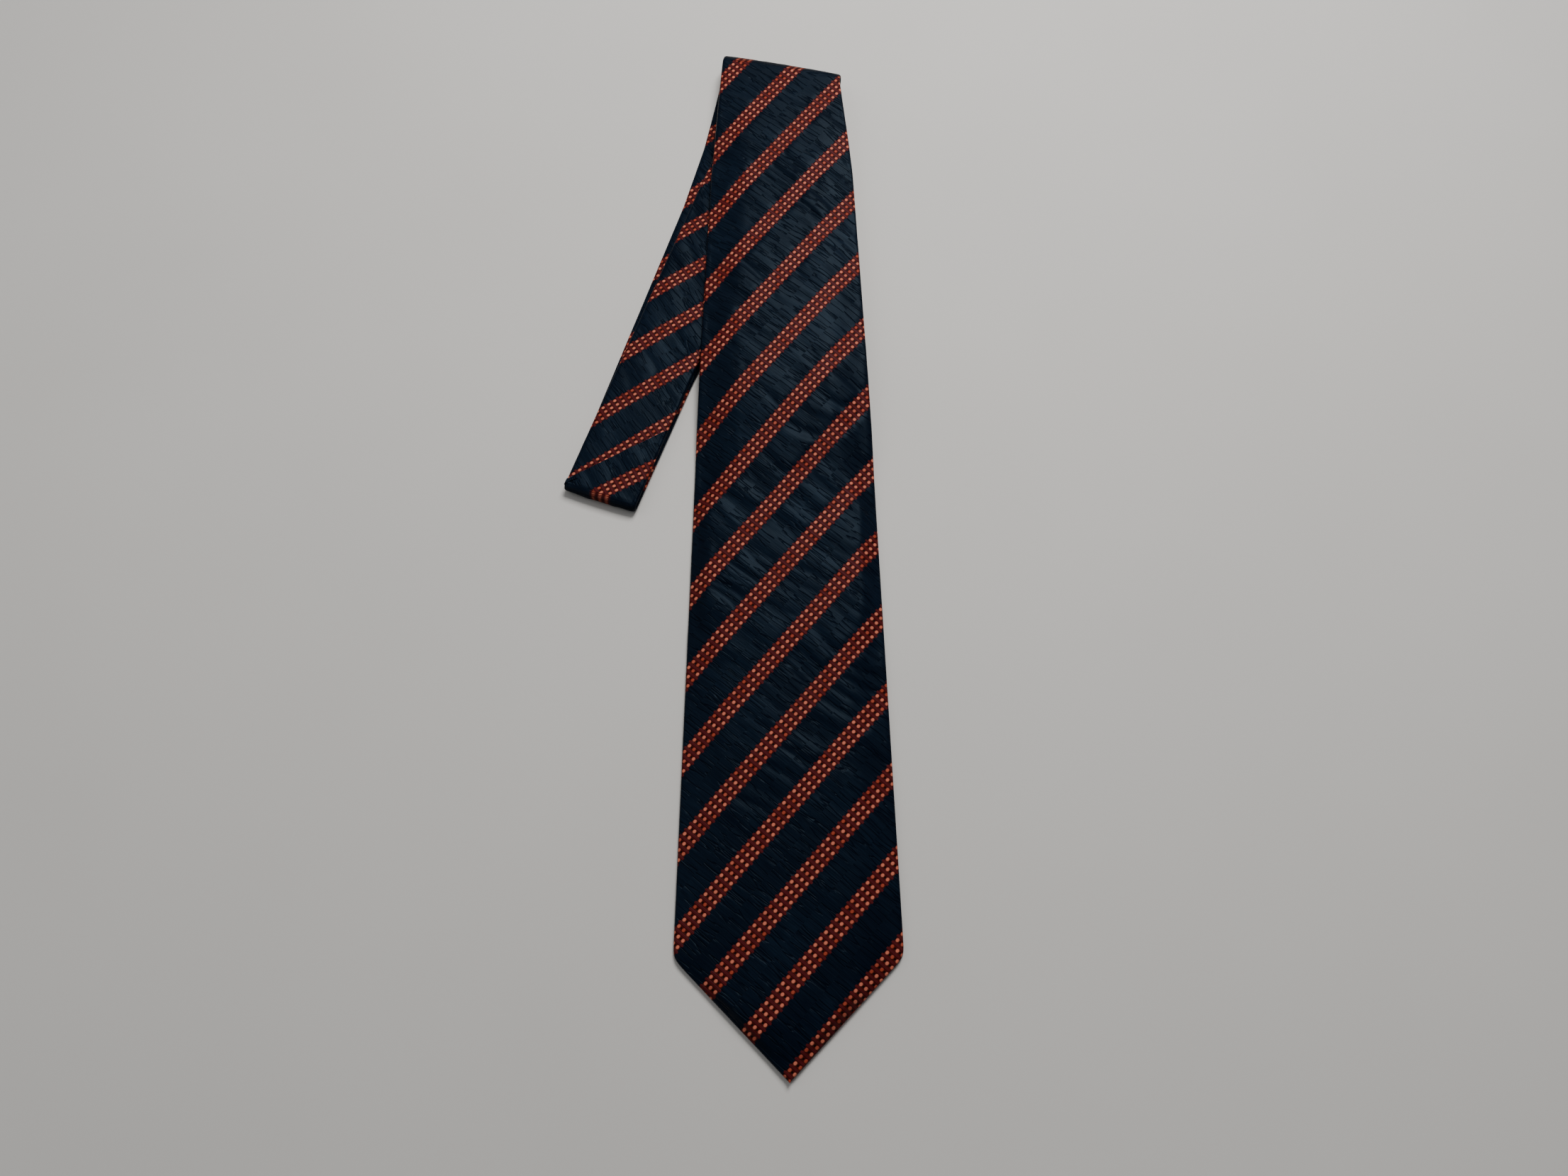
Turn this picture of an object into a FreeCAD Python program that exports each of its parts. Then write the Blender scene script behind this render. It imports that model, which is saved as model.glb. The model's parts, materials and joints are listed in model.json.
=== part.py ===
"""Necktie, stored folded: halved at the neck, then the doubled end turned under the blade.

Four plies lie on each other at the top crease. From the top down they are the blade (face up),
the tail (face down), the neck leg of the tail half (face up) and the under leg of the blade half
(face down). Every ply is a flat silk tube with a slit along its back, round a woven interlining.

Two plan frames are used. In the blade frame the blade runs along -Y from the middle of the top
crease. The leg frame is the blade frame turned clockwise by leg_lean, and the two under plies
run along its -Y. Both have z = 0 on the surface that the tie lies on, in millimetres.
"""
import FreeCAD, Part
import math
import os
import re

import Sketcher

Vector = FreeCAD.Vector
Rotation = FreeCAD.Rotation
Placement = FreeCAD.Placement

SIZES = {
    # the ply: one flattened silk tube with what is inside it
    "ply_thick": 2.8,          # whole thickness of one ply
    "ply_gap": 0.3,            # air between two plies
    "silk_wall": 0.4,          # silk at the face and at the back
    "edge_wall": 0.5,          # silk at the two rolled edges
    "lining_slack": 0.1,       # air between silk and interlining
    "tipping_thick": 0.2,
    "tipping_slack": 0.05,     # air on each side of the tipping
    "end_gap": 0.3,            # every ply stops this far from the crease axis
    # the top crease
    "crease_tilt": 12.6,       # degrees clockwise from the square-across direction
    "crease_width": 61.2,
    # the blade, measured from the crease axis towards its point
    "blade_length": 479.0,
    "blade_width": 90.0,       # across the two corners of the point
    "waist_distance": 205.0,
    "waist_width": 79.8,
    "shoulder_distance": 65.0,
    "shoulder_width": 70.0,
    "blade_hem": 9.0,          # silk turned round the point, seen from the back
    "blade_opening": 105.0,    # from the point to the top of the back opening
    "point_lift": 0.3,         # height of the point's underside
    # the tail, hidden behind the blade
    "tail_short": 28.0,        # its point stops this far short of the blade's
    "tail_width": 44.0,
    "tail_crease_width": 36.0,
    "tail_shift": 2.5,         # its middle, to the right along the crease
    "tail_hem": 7.0,
    "tail_opening": 60.0,
    "tail_seam_distance": 70.0,
    # heights of the tail along its run
    "ramp_start": 170.0,       # it leaves the under plies here
    "ramp_run": 75.0,          # and has come down to the keeper after this
    "keeper_lift": 0.6,        # room for the keeper loop below the tail
    "keeper_level": 45.0,      # level stretch with the keeper on it
    "settle_run": 40.0,        # past the level stretch it comes down to the surface
    "droop_gap": 3.0,          # the blade starts down this far past the tail's point
    # the two under plies
    "leg_lean": 19.2,          # degrees clockwise from the blade
    "leg_length": 249.6,       # crease axis to neck fold axis
    "neck_width": 34.2,
    "under_near": 52.0,
    "under_near_width": 46.8,
    "under_far": 89.0,
    "under_far_width": 41.4,
    "neck_seam_rise": 20.1,    # from the neck fold's axis up to the visible seam
    "seam_angle": 48.0,        # the silk pieces are joined parallel to the stripes
    "seam_gap": 0.5,
    "seam_thread": 0.3,
    # back seam and its threads
    "slit_width": 1.0,
    "thread_width": 0.7,
    "thread_inset": 0.1,
    "tack_length": 7.0,
    "tack_width": 1.6,
    "tack_thick": 0.2,
    # keeper loop round the tail
    "keeper_margin": 16.0,     # level stretch before its nearer edge
    "keeper_width": 13.0,
    "keeper_cloth": 0.45,
    "keeper_room": 0.6,        # beside the tail
    "keeper_flap": 6.0,
    "keeper_stitch": 0.25,
    "keeper_tack_inset": 1.0,  # the stitching stops this far inside the loop's edges
    # care label, with nothing printed on it
    "label_width": 16.0,
    "label_length": 26.0,
    "label_thick": 0.2,
    "label_from_point": 53.0,
    "tipping_overlap": 8.0,    # tipping tucked above the opening
    # how far the cutting prisms reach
    "cut_reach": 400.0,
    "past_end": 6.0,
    "back_clearance": 1.0,     # the slit's tool stands out of the back by this much
}

HALF_TURN = 180.0
PAST_EVERYTHING = "cut_reach * 3"
BEFORE_CREASE = "0 - past_end * 2"

XY_PLANE = Placement(Vector(0, 0, 0), Rotation())
YZ_PLANE = Placement(Vector(0, 0, 0), Rotation(Vector(1, 1, 1), 120))

doc = FreeCAD.newDocument("Necktie")
sheet = doc.addObject("Spreadsheet::Sheet", "Sizes")
for row, (alias, value) in enumerate(SIZES.items(), start=1):
    sheet.set(f"A{row}", alias)
    sheet.set(f"B{row}", str(value))
    sheet.setAlias(f"B{row}", alias)
doc.recompute()


def cell(text):
    """Turn plain words such as 'blade_width / 2' into an expression on the sheet."""
    return re.sub("[a-z_]+", lambda word: f"Sizes.{word[0]}" if word[0] in SIZES else word[0], text)


def number(text):
    """Value of such an expression now."""
    found = sheet.evalExpression(cell(text))
    return float(getattr(found, "Value", found))


def sketch_of(name, corners, plane=XY_PLANE):
    """Closed polygon whose corners are held at expressions of the sheet."""
    sketch = doc.addObject("Sketcher::SketchObject", f"{name}_sketch")
    sketch.Placement = plane
    hold_polygon(sketch, corners)
    return sketch


def hold_polygon(sketch, corners):
    """Draw a closed polygon in a sketch and bind each corner to its two expressions."""
    start = sketch.GeometryCount
    points = [Vector(number(x), number(y), 0) for x, y in corners]
    count = len(points)
    for index, point in enumerate(points):
        sketch.addGeometry(Part.LineSegment(point, points[(index + 1) % count]), False)
    for index in range(count):
        following = start + (index + 1) % count
        sketch.addConstraint(Sketcher.Constraint("Coincident", start + index, 2, following, 1))
    for index, corner in enumerate(corners):
        for kind, text in zip(("DistanceX", "DistanceY"), corner):
            held = Sketcher.Constraint(kind, start + index, 1, number(text))
            place = sketch.addConstraint(held)
            sketch.setExpression(f"Constraints[{place}]", cell(text))


def prism(name, corners, plane=XY_PLANE):
    """Polygon swept to both sides of its plane, past everything."""
    swept = doc.addObject("Part::Extrusion", f"{name}_prism")
    swept.Base = sketch_of(name, corners, plane)
    swept.DirMode = "Normal"
    swept.Solid = True
    swept.Symmetric = True
    swept.setExpression("LengthFwd", cell("cut_reach"))
    return swept


def common(name, *shapes):
    """What all the shapes share."""
    shared = doc.addObject("Part::MultiCommon", name)
    shared.Shapes = list(shapes)
    return shared


def cut(name, base, tool):
    """One shape less another."""
    less = doc.addObject("Part::Cut", name)
    less.Base = base
    less.Tool = tool
    return less


def fuse(name, *shapes):
    """Shapes joined into one."""
    joined = doc.addObject("Part::MultiFuse", name)
    joined.Shapes = list(shapes)
    return joined


class Strip:
    """One ply's run: its plan outline, its underside along the run, and which way its back faces."""

    def __init__(self, tilt, back_up, path, widths, crease_half, crease_shift, length, point):
        self.tilt = tilt                  # degrees that the crease falls to the right, in this frame
        self.back_up = back_up
        self.path = path                  # (distance from the crease, height of the underside)
        self.widths = widths              # (distance from the crease, half width)
        self.crease_half = crease_half
        self.crease_shift = crease_shift
        self.length = length
        self.point = point                # half width at the corners of the point, or None

    def crease_point(self, along, past):
        """A point on the crease line, moved past it."""
        cosine = f"cos(({self.tilt}) * 1deg)"
        sine = f"sin(({self.tilt}) * 1deg)"
        across = f"({along}) * {cosine} + ({past}) * {sine}"
        up = f"({past}) * {cosine} - ({along}) * {sine}"
        return (across, up)

    def outline(self, inset, open_end=False):
        """Plan outline, drawn in by inset. An open end runs straight on past the crease."""
        stop = "0" if open_end else "0 - end_gap"
        left = self.crease_point(f"{self.crease_shift} - ({self.crease_half} - {inset})", stop)
        right = self.crease_point(f"{self.crease_shift} + {self.crease_half} - {inset}", stop)
        crease = [left, right]
        if open_end:
            crease = [left, beyond(left), beyond(right), right]
        down = [(f"{half} - {inset}", f"0 - {distance}") for distance, half in self.widths]
        if self.point:
            tip = f"{inset} * sqrt(2) - {self.length}"
            side = f"{self.point} - {inset}"
            down.append((side, f"{tip} + {side}"))
            ends = [("0", tip)]
        else:
            ends = []
        mirrored = [(f"0 - ({x})", y) for x, y in reversed(down)]
        return crease + down + ends + mirrored

    def levels(self, low, high):
        """Heights measured from the ply's back, turned over when the back faces up."""
        if self.back_up:
            return (f"ply_thick - ({high})", f"ply_thick - ({low})")
        return (low, high)

    def band(self, name, low, high, near=None):
        """Layer between two heights above the back, swept across the ply."""
        bottom, top = self.levels(low, high)
        run = self.path if near is None else self.clipped(near)
        under = [(f"0 - ({distance})", f"{height} + ({bottom})") for distance, height in run]
        over = [(f"0 - ({distance})", f"{height} + ({top})") for distance, height in reversed(run)]
        return prism(name, under + over, YZ_PLANE)

    def clipped(self, near):
        """The run from a distance on, with its height there."""
        after = next(i for i, place in enumerate(self.path) if number(place[0]) > number(near))
        (start, low), (end, high) = self.path[after - 1], self.path[after]
        share = f"(({near}) - ({start})) / (({end}) - ({start}))"
        return [(near, f"{low} + (({high}) - ({low})) * {share}")] + self.path[after:]

    def patch(self, name, width, length, distance, low, high):
        """Small flat piece centred on the back seam, whose nearer end is at a distance."""
        near, far = f"0 - ({distance})", f"0 - ({distance}) - {length}"
        plan = prism(f"{name}_plan", [
            (f"0 - {width} / 2", far), (f"{width} / 2", far), (f"{width} / 2", near), (f"0 - {width} / 2", near)])
        return common(name, plan, self.band(f"{name}_band", low, high))

    def layer(self, name, inset, low, high, near=None, open_end=False):
        """Solid layer of the ply."""
        plan = prism(f"{name}_plan", self.outline(inset, open_end))
        return common(name, plan, self.band(f"{name}_band", low, high, near))

    def back_seam(self, name, half, opening=None, widen=True):
        """Plan of the slit along the back, which widens to the opening near the point."""
        left = self.crease_point(f"{self.crease_shift} - {half}", "0")
        right = self.crease_point(f"{self.crease_shift} + {half}", "0")
        corners = [left, beyond(left), beyond(right), right]
        if opening is None:
            foot = f"0 - {self.length}"
            return prism(name, corners + [(half, foot), (f"0 - {half}", foot)])
        reach, hem = opening
        apex = f"{reach} - {self.length}"
        if not widen:
            return prism(name, corners + [(half, apex), (f"0 - {half}", apex)])
        tip = f"{hem} * sqrt(2) - {self.length}"
        side = f"{self.point} - {hem}"
        corners += [(half, apex), (side, f"{tip} + {side}"), ("0", tip)]
        corners += [(f"0 - ({side})", f"{tip} + {side}"), (f"0 - {half}", apex)]
        return prism(name, corners)

    def shell(self, name, opening=None):
        """Silk tube: the outer form less its inside and less the slit in its back."""
        body = self.layer(f"{name}_outer", "0", "0", "ply_thick")
        inside = self.layer(f"{name}_inside", "edge_wall", "silk_wall", "ply_thick - silk_wall", open_end=True)
        slit = self.back_seam(f"{name}_slit", "slit_width / 2", opening)
        back = self.band(f"{name}_back", "0 - back_clearance", "silk_wall + lining_slack")
        hollow = cut(f"{name}_tube", body, inside)
        return cut(name, hollow, common(f"{name}_cutaway", slit, back))

    def interlining(self, name):
        """Woven lining cloth that fills the tube, clear of the silk and of the tipping."""
        under = "silk_wall + tipping_thick + tipping_slack * 3"
        return self.layer(name, "(edge_wall + lining_slack * 2)", under,
                          "ply_thick - silk_wall - lining_slack")

    def tipping(self, name, reach):
        """Thin lining sewn inside the back opening."""
        low = "silk_wall + tipping_slack"
        high = "silk_wall + tipping_slack + tipping_thick"
        near = f"{self.length} - {reach} - tipping_overlap"
        return self.layer(name, "(edge_wall + lining_slack)", low, high, near)

    def slip_stitch(self, name, opening=None):
        """The one long thread that closes the back seam, lying in the slit."""
        strand = self.back_seam(f"{name}_strand", "thread_width / 2", opening, widen=False)
        level = self.band(f"{name}_level", "thread_inset", "silk_wall - thread_inset / 2")
        start = "thread_inset" if opening is None else f"{opening[0]} + tack_width"
        fall = f"cut_reach * tan(({self.tilt}) * 1deg)"
        span = prism(f"{name}_span", [
            ("0 - cut_reach", f"{start} - {self.length}"), ("cut_reach", f"{start} - {self.length}"),
            ("cut_reach", f"0 - end_gap - {fall}"), ("0 - cut_reach", f"{fall} - end_gap")])
        return common(name, strand, level, span)


def beyond(corner):
    """The same corner moved straight on past the crease."""
    return (corner[0], f"{corner[1]} + past_end")


TAIL_LENGTH = "(blade_length - tail_short)"
RAMP_END = "(ramp_start + ramp_run)"
KEEPER_END = f"({RAMP_END} + keeper_level)"
REST_START = f"({KEEPER_END} + settle_run)"
NECK_SEAM = "(leg_length - neck_seam_rise)"

TOP_OF_UNDER_PLIES = "ply_thick * 2 + ply_gap * 2"
TAIL_PATH = [
    (BEFORE_CREASE, TOP_OF_UNDER_PLIES), ("ramp_start", TOP_OF_UNDER_PLIES),
    (RAMP_END, "keeper_lift"), (KEEPER_END, "keeper_lift"),
    (REST_START, "0"), (f"{TAIL_LENGTH} + past_end", "0"),
]
ON_TAIL = "ply_thick + ply_gap"
BLADE_PATH = [(distance, f"{height} + {ON_TAIL}") for distance, height in TAIL_PATH[:-1]]
BLADE_PATH += [(f"{TAIL_LENGTH} + droop_gap", ON_TAIL), ("blade_length", "point_lift")]

blade = Strip(
    "crease_tilt", False, BLADE_PATH,
    [("shoulder_distance", "shoulder_width / 2"), ("waist_distance", "waist_width / 2")],
    "crease_width / 2", "0", "blade_length", "blade_width / 2")
tail = Strip(
    "crease_tilt", True, TAIL_PATH, [],
    "tail_crease_width / 2", "tail_shift", TAIL_LENGTH, "tail_width / 2")
neck_leg = Strip(
    "crease_tilt - leg_lean", False,
    [(BEFORE_CREASE, ON_TAIL), ("leg_length", ON_TAIL)],
    [("leg_length", "neck_width / 2")],
    "tail_crease_width / 2", "tail_shift", "leg_length", None)
under_leg = Strip(
    "crease_tilt - leg_lean", True,
    [(BEFORE_CREASE, "0"), ("leg_length", "0")],
    [("under_near", "under_near_width / 2"), ("under_far", "under_far_width / 2"),
     ("leg_length", "neck_width / 2")],
    "crease_width / 2", "0", "leg_length", None)


def slanted_side(name, distance, offset, upward):
    """Everything on one side of a slanted line across a ply, as a prism."""
    rise = "cut_reach * tan(seam_angle * 1deg)"
    level = f"{offset} - {distance}"
    edge = PAST_EVERYTHING if upward else f"0 - {PAST_EVERYTHING}"
    return prism(name, [
        ("0 - cut_reach", f"{level} - {rise}"), ("cut_reach", f"{level} + {rise}"),
        ("cut_reach", edge), ("0 - cut_reach", edge)])


def seam_strand(name, strip, distance):
    """Sewing thread lying in the gap between two silk pieces, in the face of the ply."""
    rise = "cut_reach * tan(seam_angle * 1deg)"
    half = "seam_thread / 2"
    corners = [
        ("0 - cut_reach", f"0 - {distance} - {rise} - {half}"), ("cut_reach", f"{rise} - {distance} - {half}"),
        ("cut_reach", f"{rise} - {distance} + {half}"), ("0 - cut_reach", f"{half} - {distance} - {rise}")]
    line = prism(f"{name}_line", corners)
    face = strip.layer(f"{name}_face", "edge_wall", "ply_thick - silk_wall", "ply_thick - thread_inset")
    return common(name, face, line)


def ring(name, half, shift, inner, outer, hollow, from_below):
    """Half turn of a ply's section about its own X axis: a fold. The section may be a tube."""
    body = doc.addObject("PartDesign::Body", name)
    sketch = body.newObject("Sketcher::SketchObject", f"{name}_section")
    plane = next(part for part in body.Origin.OriginFeatures if part.Role == "XZ_Plane")
    sketch.AttachmentSupport = (plane, [""])
    sketch.MapMode = "FlatFace"
    hold_polygon(sketch, section_corners(half, shift, inner, outer, "0", "0", from_below))
    if hollow:
        hold_polygon(sketch, section_corners(half, shift, inner, outer, "edge_wall", "silk_wall", from_below))
    turn = body.newObject("PartDesign::Revolution", f"{name}_turn")
    turn.Profile = sketch
    turn.ReferenceAxis = (sketch, ["H_Axis"])
    turn.Angle = HALF_TURN
    return body


def section_corners(half, shift, inner, outer, side_inset, flat_inset, from_below):
    """Rectangle of a ply's section, at a distance from the fold axis."""
    left = f"{shift} - ({half} - {side_inset})"
    right = f"{shift} + {half} - {side_inset}"
    near, far = f"{inner} + {flat_inset}", f"{outer} - {flat_inset}"
    if from_below:
        near, far = f"0 - ({near})", f"0 - ({far})"
    return [(left, near), (right, near), (right, far), (left, far)]


def pad_across(name, corners, plane_role, width):
    """Cloth strip drawn edge-on and padded to both sides of its plane."""
    body = doc.addObject("PartDesign::Body", name)
    sketch = body.newObject("Sketcher::SketchObject", f"{name}_profile")
    plane = next(part for part in body.Origin.OriginFeatures if part.Role == plane_role)
    sketch.AttachmentSupport = (plane, [""])
    sketch.MapMode = "FlatFace"
    hold_polygon(sketch, corners)
    pad = body.newObject("PartDesign::Pad", f"{name}_pad")
    pad.Profile = sketch
    pad.SideType = "Symmetric"
    pad.setExpression("Length", cell(width))
    return body


def block(name, width, depth, height):
    """Small plain piece, such as a bar of thread."""
    box = doc.addObject("Part::Box", name)
    box.setExpression("Length", cell(width))
    box.setExpression("Width", cell(depth))
    box.setExpression("Height", cell(height))
    return box


def at(x="0", y="0", z="0", turn="0"):
    """Placement from expressions, with a turn about Z in degrees."""
    return Placement(Vector(number(x), number(y), number(z)), Rotation(Vector(0, 0, 1), number(turn)))


# ---- fold radii: gap between the innermost two plies, then one ply, gap, one ply ----
INNER_NEAR = "ply_gap / 2"
INNER_FAR = "ply_gap / 2 + ply_thick"
OUTER_NEAR = "ply_gap * 3 / 2 + ply_thick"
OUTER_FAR = "ply_gap * 3 / 2 + ply_thick * 2"
LINING_IN = "silk_wall + lining_slack"

BLADE_FRAME = at()
LEG_FRAME = at(turn="0 - leg_lean")
CREASE_FRAME = at(z=OUTER_FAR, turn="0 - crease_tilt")


def build_blade():
    """The blade with its lining, opening, threads and label."""
    opening = ("blade_opening", "blade_hem")
    apex = "blade_length - blade_opening - tack_width"
    label_near = "blade_length - label_from_point - label_length"
    return {
        "front_shell": blade.shell("front_shell", opening),
        "front_interlining": blade.interlining("front_interlining"),
        "front_tipping": blade.tipping("front_tipping", "blade_opening"),
        "front_slip_stitch": blade.slip_stitch("front_slip_stitch", opening),
        "front_bar_tack": blade.patch("front_bar_tack", "tack_length", "tack_width", apex, "0 - tack_thick", "0"),
        "care_label": blade.patch("care_label", "label_width", "label_length", label_near,
                                  "silk_wall - label_thick", "silk_wall"),
    }


def build_tail():
    """The tail behind the blade: the end of the neck piece, the tail piece and their parts."""
    opening = ("tail_opening", "tail_hem")
    tube = tail.shell("tail_tube", opening)
    gap = "seam_gap / 2"
    near_side = slanted_side("tail_seam_near", "tail_seam_distance", gap, True)
    far_side = slanted_side("tail_seam_far", "tail_seam_distance", f"0 - {gap}", False)
    apex = f"{TAIL_LENGTH} - tail_opening - tack_width"
    return {
        "neck_shell_end": common("neck_shell_end", tube, near_side),
        "tail_shell": common("tail_shell", tube, far_side),
        "tail_seam_thread": seam_strand("tail_seam_thread", tail, "tail_seam_distance"),
        "tail_interlining": tail.interlining("tail_interlining"),
        "tail_tipping": tail.tipping("tail_tipping", "tail_opening"),
        "tail_slip_stitch": tail.slip_stitch("tail_slip_stitch", opening),
        "tail_bar_tack": tail.patch("tail_bar_tack", "tack_length", "tack_width", apex, "0 - tack_thick", "0"),
    }


def build_keeper():
    """Loop across the back of the blade, with the tail passed through it."""
    middle = f"({RAMP_END} + keeper_margin + keeper_width / 2)"
    half = "(tail_width / 2 + tail_shift + keeper_room)"
    wall = f"({half} + keeper_cloth)"
    ceiling = f"(keeper_lift + {ON_TAIL})"
    ledge = f"({ceiling} - keeper_cloth)"
    flap = f"({wall} + keeper_flap)"
    right = [(half, "keeper_cloth"), (half, ceiling), (flap, ceiling), (flap, ledge), (wall, ledge), (wall, "0")]
    left = [(f"0 - {x}", height) for x, height in reversed(right)]
    loop = pad_across("keeper_loop", right + left, "XZ_Plane", "keeper_width")
    loop.Placement = at(y=f"0 - {middle}")
    tacks = []
    for side, start in (("left", f"0 - {flap}"), ("right", f"{flap} - keeper_flap / 2")):
        tack = block(f"keeper_tack_{side}", "keeper_flap / 2", "keeper_width - keeper_tack_inset * 2", "keeper_stitch")
        near_edge = f"0 - {middle} - keeper_width / 2 + keeper_tack_inset"
        tack.Placement = at(start, near_edge, f"{ledge} - keeper_stitch")
        tacks.append(tack)
    group = doc.addObject("Part::Compound", "keeper_tacks")
    group.Links = tacks
    return {"keeper_loop": loop, "keeper_tacks": group}


def build_crease():
    """The four cloths that go round the top crease, wrapped in pairs."""
    crease_half, tail_half = "crease_width / 2", "tail_crease_width / 2"
    side = "edge_wall + lining_slack * 2"
    lined = [
        ring("front_shell_fold", crease_half, "0", OUTER_NEAR, OUTER_FAR, True, True),
        ring("front_interlining_fold", f"{crease_half} - ({side})", "0", f"{OUTER_NEAR} + {LINING_IN}",
             f"{OUTER_FAR} - ({LINING_IN})", False, True),
        ring("neck_shell_fold", tail_half, "tail_shift", INNER_NEAR, INNER_FAR, True, True),
        ring("tail_interlining_fold", f"{tail_half} - ({side})", "tail_shift", f"{INNER_NEAR} + {LINING_IN}",
             f"{INNER_FAR} - ({LINING_IN})", False, True),
    ]
    return {body.Name: body for body in lined}


def build_legs():
    """The under half: the rest of the blade piece, the neck fold and the neck piece."""
    gap = "seam_gap / 2"
    under_tube = under_leg.shell("under_tube")
    neck_tube = neck_leg.shell("neck_tube")
    above = slanted_side("neck_seam_above", NECK_SEAM, gap, True)
    below = slanted_side("neck_seam_below", NECK_SEAM, f"0 - {gap}", False)
    bend = ring("neck_fold", "neck_width / 2", "0", INNER_NEAR, INNER_FAR, True, False)
    bend.Placement = at(y="0 - leg_length", z=INNER_FAR)
    start = common("neck_leg_start", neck_tube, below)
    lining_half = "neck_width / 2 - edge_wall - lining_slack * 2"
    lining_bend = ring("neck_fold_lining", lining_half, "0", f"{INNER_NEAR} + {LINING_IN}",
                       f"{INNER_FAR} - ({LINING_IN})", False, False)
    lining_bend.Placement = at(y="0 - leg_length", z=INNER_FAR)
    under_lining = under_leg.interlining("under_leg_lining")
    return {
        "front_shell_under": fuse("front_shell_under", under_tube, bend, start),
        "neck_shell": common("neck_shell", neck_tube, above),
        "neck_seam_thread": seam_strand("neck_seam_thread", neck_leg, NECK_SEAM),
        "interlining_under": fuse("interlining_under", under_lining, lining_bend),
        "neck_interlining": neck_leg.interlining("neck_interlining"),
        "under_slip_stitch": under_leg.slip_stitch("under_slip_stitch"),
        "neck_slip_stitch": neck_leg.slip_stitch("neck_slip_stitch"),
    }


def shift_to_frame(nodes):
    """Put the origin at the bottom centre of the whole tie's box."""
    box = FreeCAD.BoundBox()
    for node in nodes.values():
        box.add(node.Shape.BoundBox)
    centre = Vector(box.Center.x, box.Center.y, box.ZMin)
    for node in nodes.values():
        node.Placement = Placement(node.Placement.Base - centre, node.Placement.Rotation)
    return centre


def check(nodes):
    """Stop on any failed object or bad shape."""
    for item in doc.Objects:
        failed = {"Invalid", "Error"} & set(item.State)
        if failed:
            raise RuntimeError(f"{item.Name} is {failed}")
    for name, node in nodes.items():
        shape = node.Shape
        if shape.isNull() or not shape.isValid() or not shape.Solids:
            raise RuntimeError(f"{name} has no valid solid")


def main():
    """Build every node, place it in the tie's frame and write its STEP file."""
    nodes = {}
    for frame, group in (
        (BLADE_FRAME, build_blade()), (BLADE_FRAME, build_tail()), (BLADE_FRAME, build_keeper()),
        (CREASE_FRAME, build_crease()), (LEG_FRAME, build_legs()),
    ):
        for name, node in group.items():
            node.Placement = frame.multiply(node.Placement)
            node.Label = name
            nodes[name] = node
    doc.recompute()
    check(nodes)
    centre = shift_to_frame(nodes)
    doc.recompute()
    check(nodes)
    os.makedirs("parts", exist_ok=True)
    for name, node in nodes.items():
        node.Shape.exportStep(f"parts/{name}.step")
        box = node.Shape.BoundBox
        print(f"{name:24s} solids {len(node.Shape.Solids)} volume {node.Shape.Volume:9.1f} "
              f"x {box.XMin:7.1f} {box.XMax:7.1f} y {box.YMin:7.1f} {box.YMax:7.1f} "
              f"z {box.ZMin:5.2f} {box.ZMax:5.2f}")
    print("crease axis at", [round(v, 4) for v in (-centre.x, -centre.y, number(OUTER_FAR) - centre.z)],
          "direction", round(math.cos(math.radians(number("crease_tilt"))), 6),
          round(-math.sin(math.radians(number("crease_tilt"))), 6))


main()
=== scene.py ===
"""Necktie, stored folded: the visible cloth, threads and label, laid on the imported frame.

Lengths in the sizes are in millimetres. Each piece is built in millimetres and scaled to metres
once, as its mesh is made. A ply is a flat tube of silk: a face, two rolled edges, and two flaps
that meet behind it along a hand-sewn seam.
"""

import json
import logging
import math
from collections.abc import Callable, Sequence
from dataclasses import dataclass, field, replace
from enum import Enum

import bmesh
import bpy
from mathutils import Matrix, Vector, noise

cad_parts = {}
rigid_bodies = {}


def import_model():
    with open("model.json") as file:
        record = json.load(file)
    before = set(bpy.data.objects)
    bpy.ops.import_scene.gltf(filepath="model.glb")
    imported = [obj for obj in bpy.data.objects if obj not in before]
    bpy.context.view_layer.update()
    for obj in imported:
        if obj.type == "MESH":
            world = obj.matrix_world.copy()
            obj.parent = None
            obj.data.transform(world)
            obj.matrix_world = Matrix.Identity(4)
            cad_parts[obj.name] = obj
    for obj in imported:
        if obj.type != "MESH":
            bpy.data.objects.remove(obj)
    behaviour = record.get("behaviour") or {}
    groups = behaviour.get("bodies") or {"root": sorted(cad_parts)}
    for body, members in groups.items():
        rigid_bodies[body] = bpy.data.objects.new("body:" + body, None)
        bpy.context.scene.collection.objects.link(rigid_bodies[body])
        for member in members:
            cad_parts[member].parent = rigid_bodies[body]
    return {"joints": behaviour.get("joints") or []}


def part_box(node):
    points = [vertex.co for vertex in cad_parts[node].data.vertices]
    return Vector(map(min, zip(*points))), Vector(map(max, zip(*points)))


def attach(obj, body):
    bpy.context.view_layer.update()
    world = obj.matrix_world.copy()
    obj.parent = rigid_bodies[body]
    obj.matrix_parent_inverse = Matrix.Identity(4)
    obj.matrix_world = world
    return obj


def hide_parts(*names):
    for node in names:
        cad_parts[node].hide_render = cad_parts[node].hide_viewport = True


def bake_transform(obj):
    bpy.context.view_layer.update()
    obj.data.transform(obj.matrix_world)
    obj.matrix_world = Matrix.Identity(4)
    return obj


for _left_over in list(bpy.data.objects):
    bpy.data.objects.remove(_left_over)

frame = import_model()

LOG = logging.getLogger("necktie")
MM = 0.001
UV_NAME = "cloth"
# Usual distance from band to band, and half of a band's width.
STRIPE_PITCH = 22.5
BAND_HALF = 3.7
# A cell whose corners' counts differ by more than this spans a mitre.
MITRE_JUMP = 0.22
# Lowest height of any cloth above the surface.
LOWEST = 0.06
# Half of the slit between the flaps where the back is sewn shut.
CLOSED = 0.5
# Least half of a row's width, and of the width of a cloth that lies inside one.
THINNEST = 0.12
CORE_THINNEST = 0.15

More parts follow.
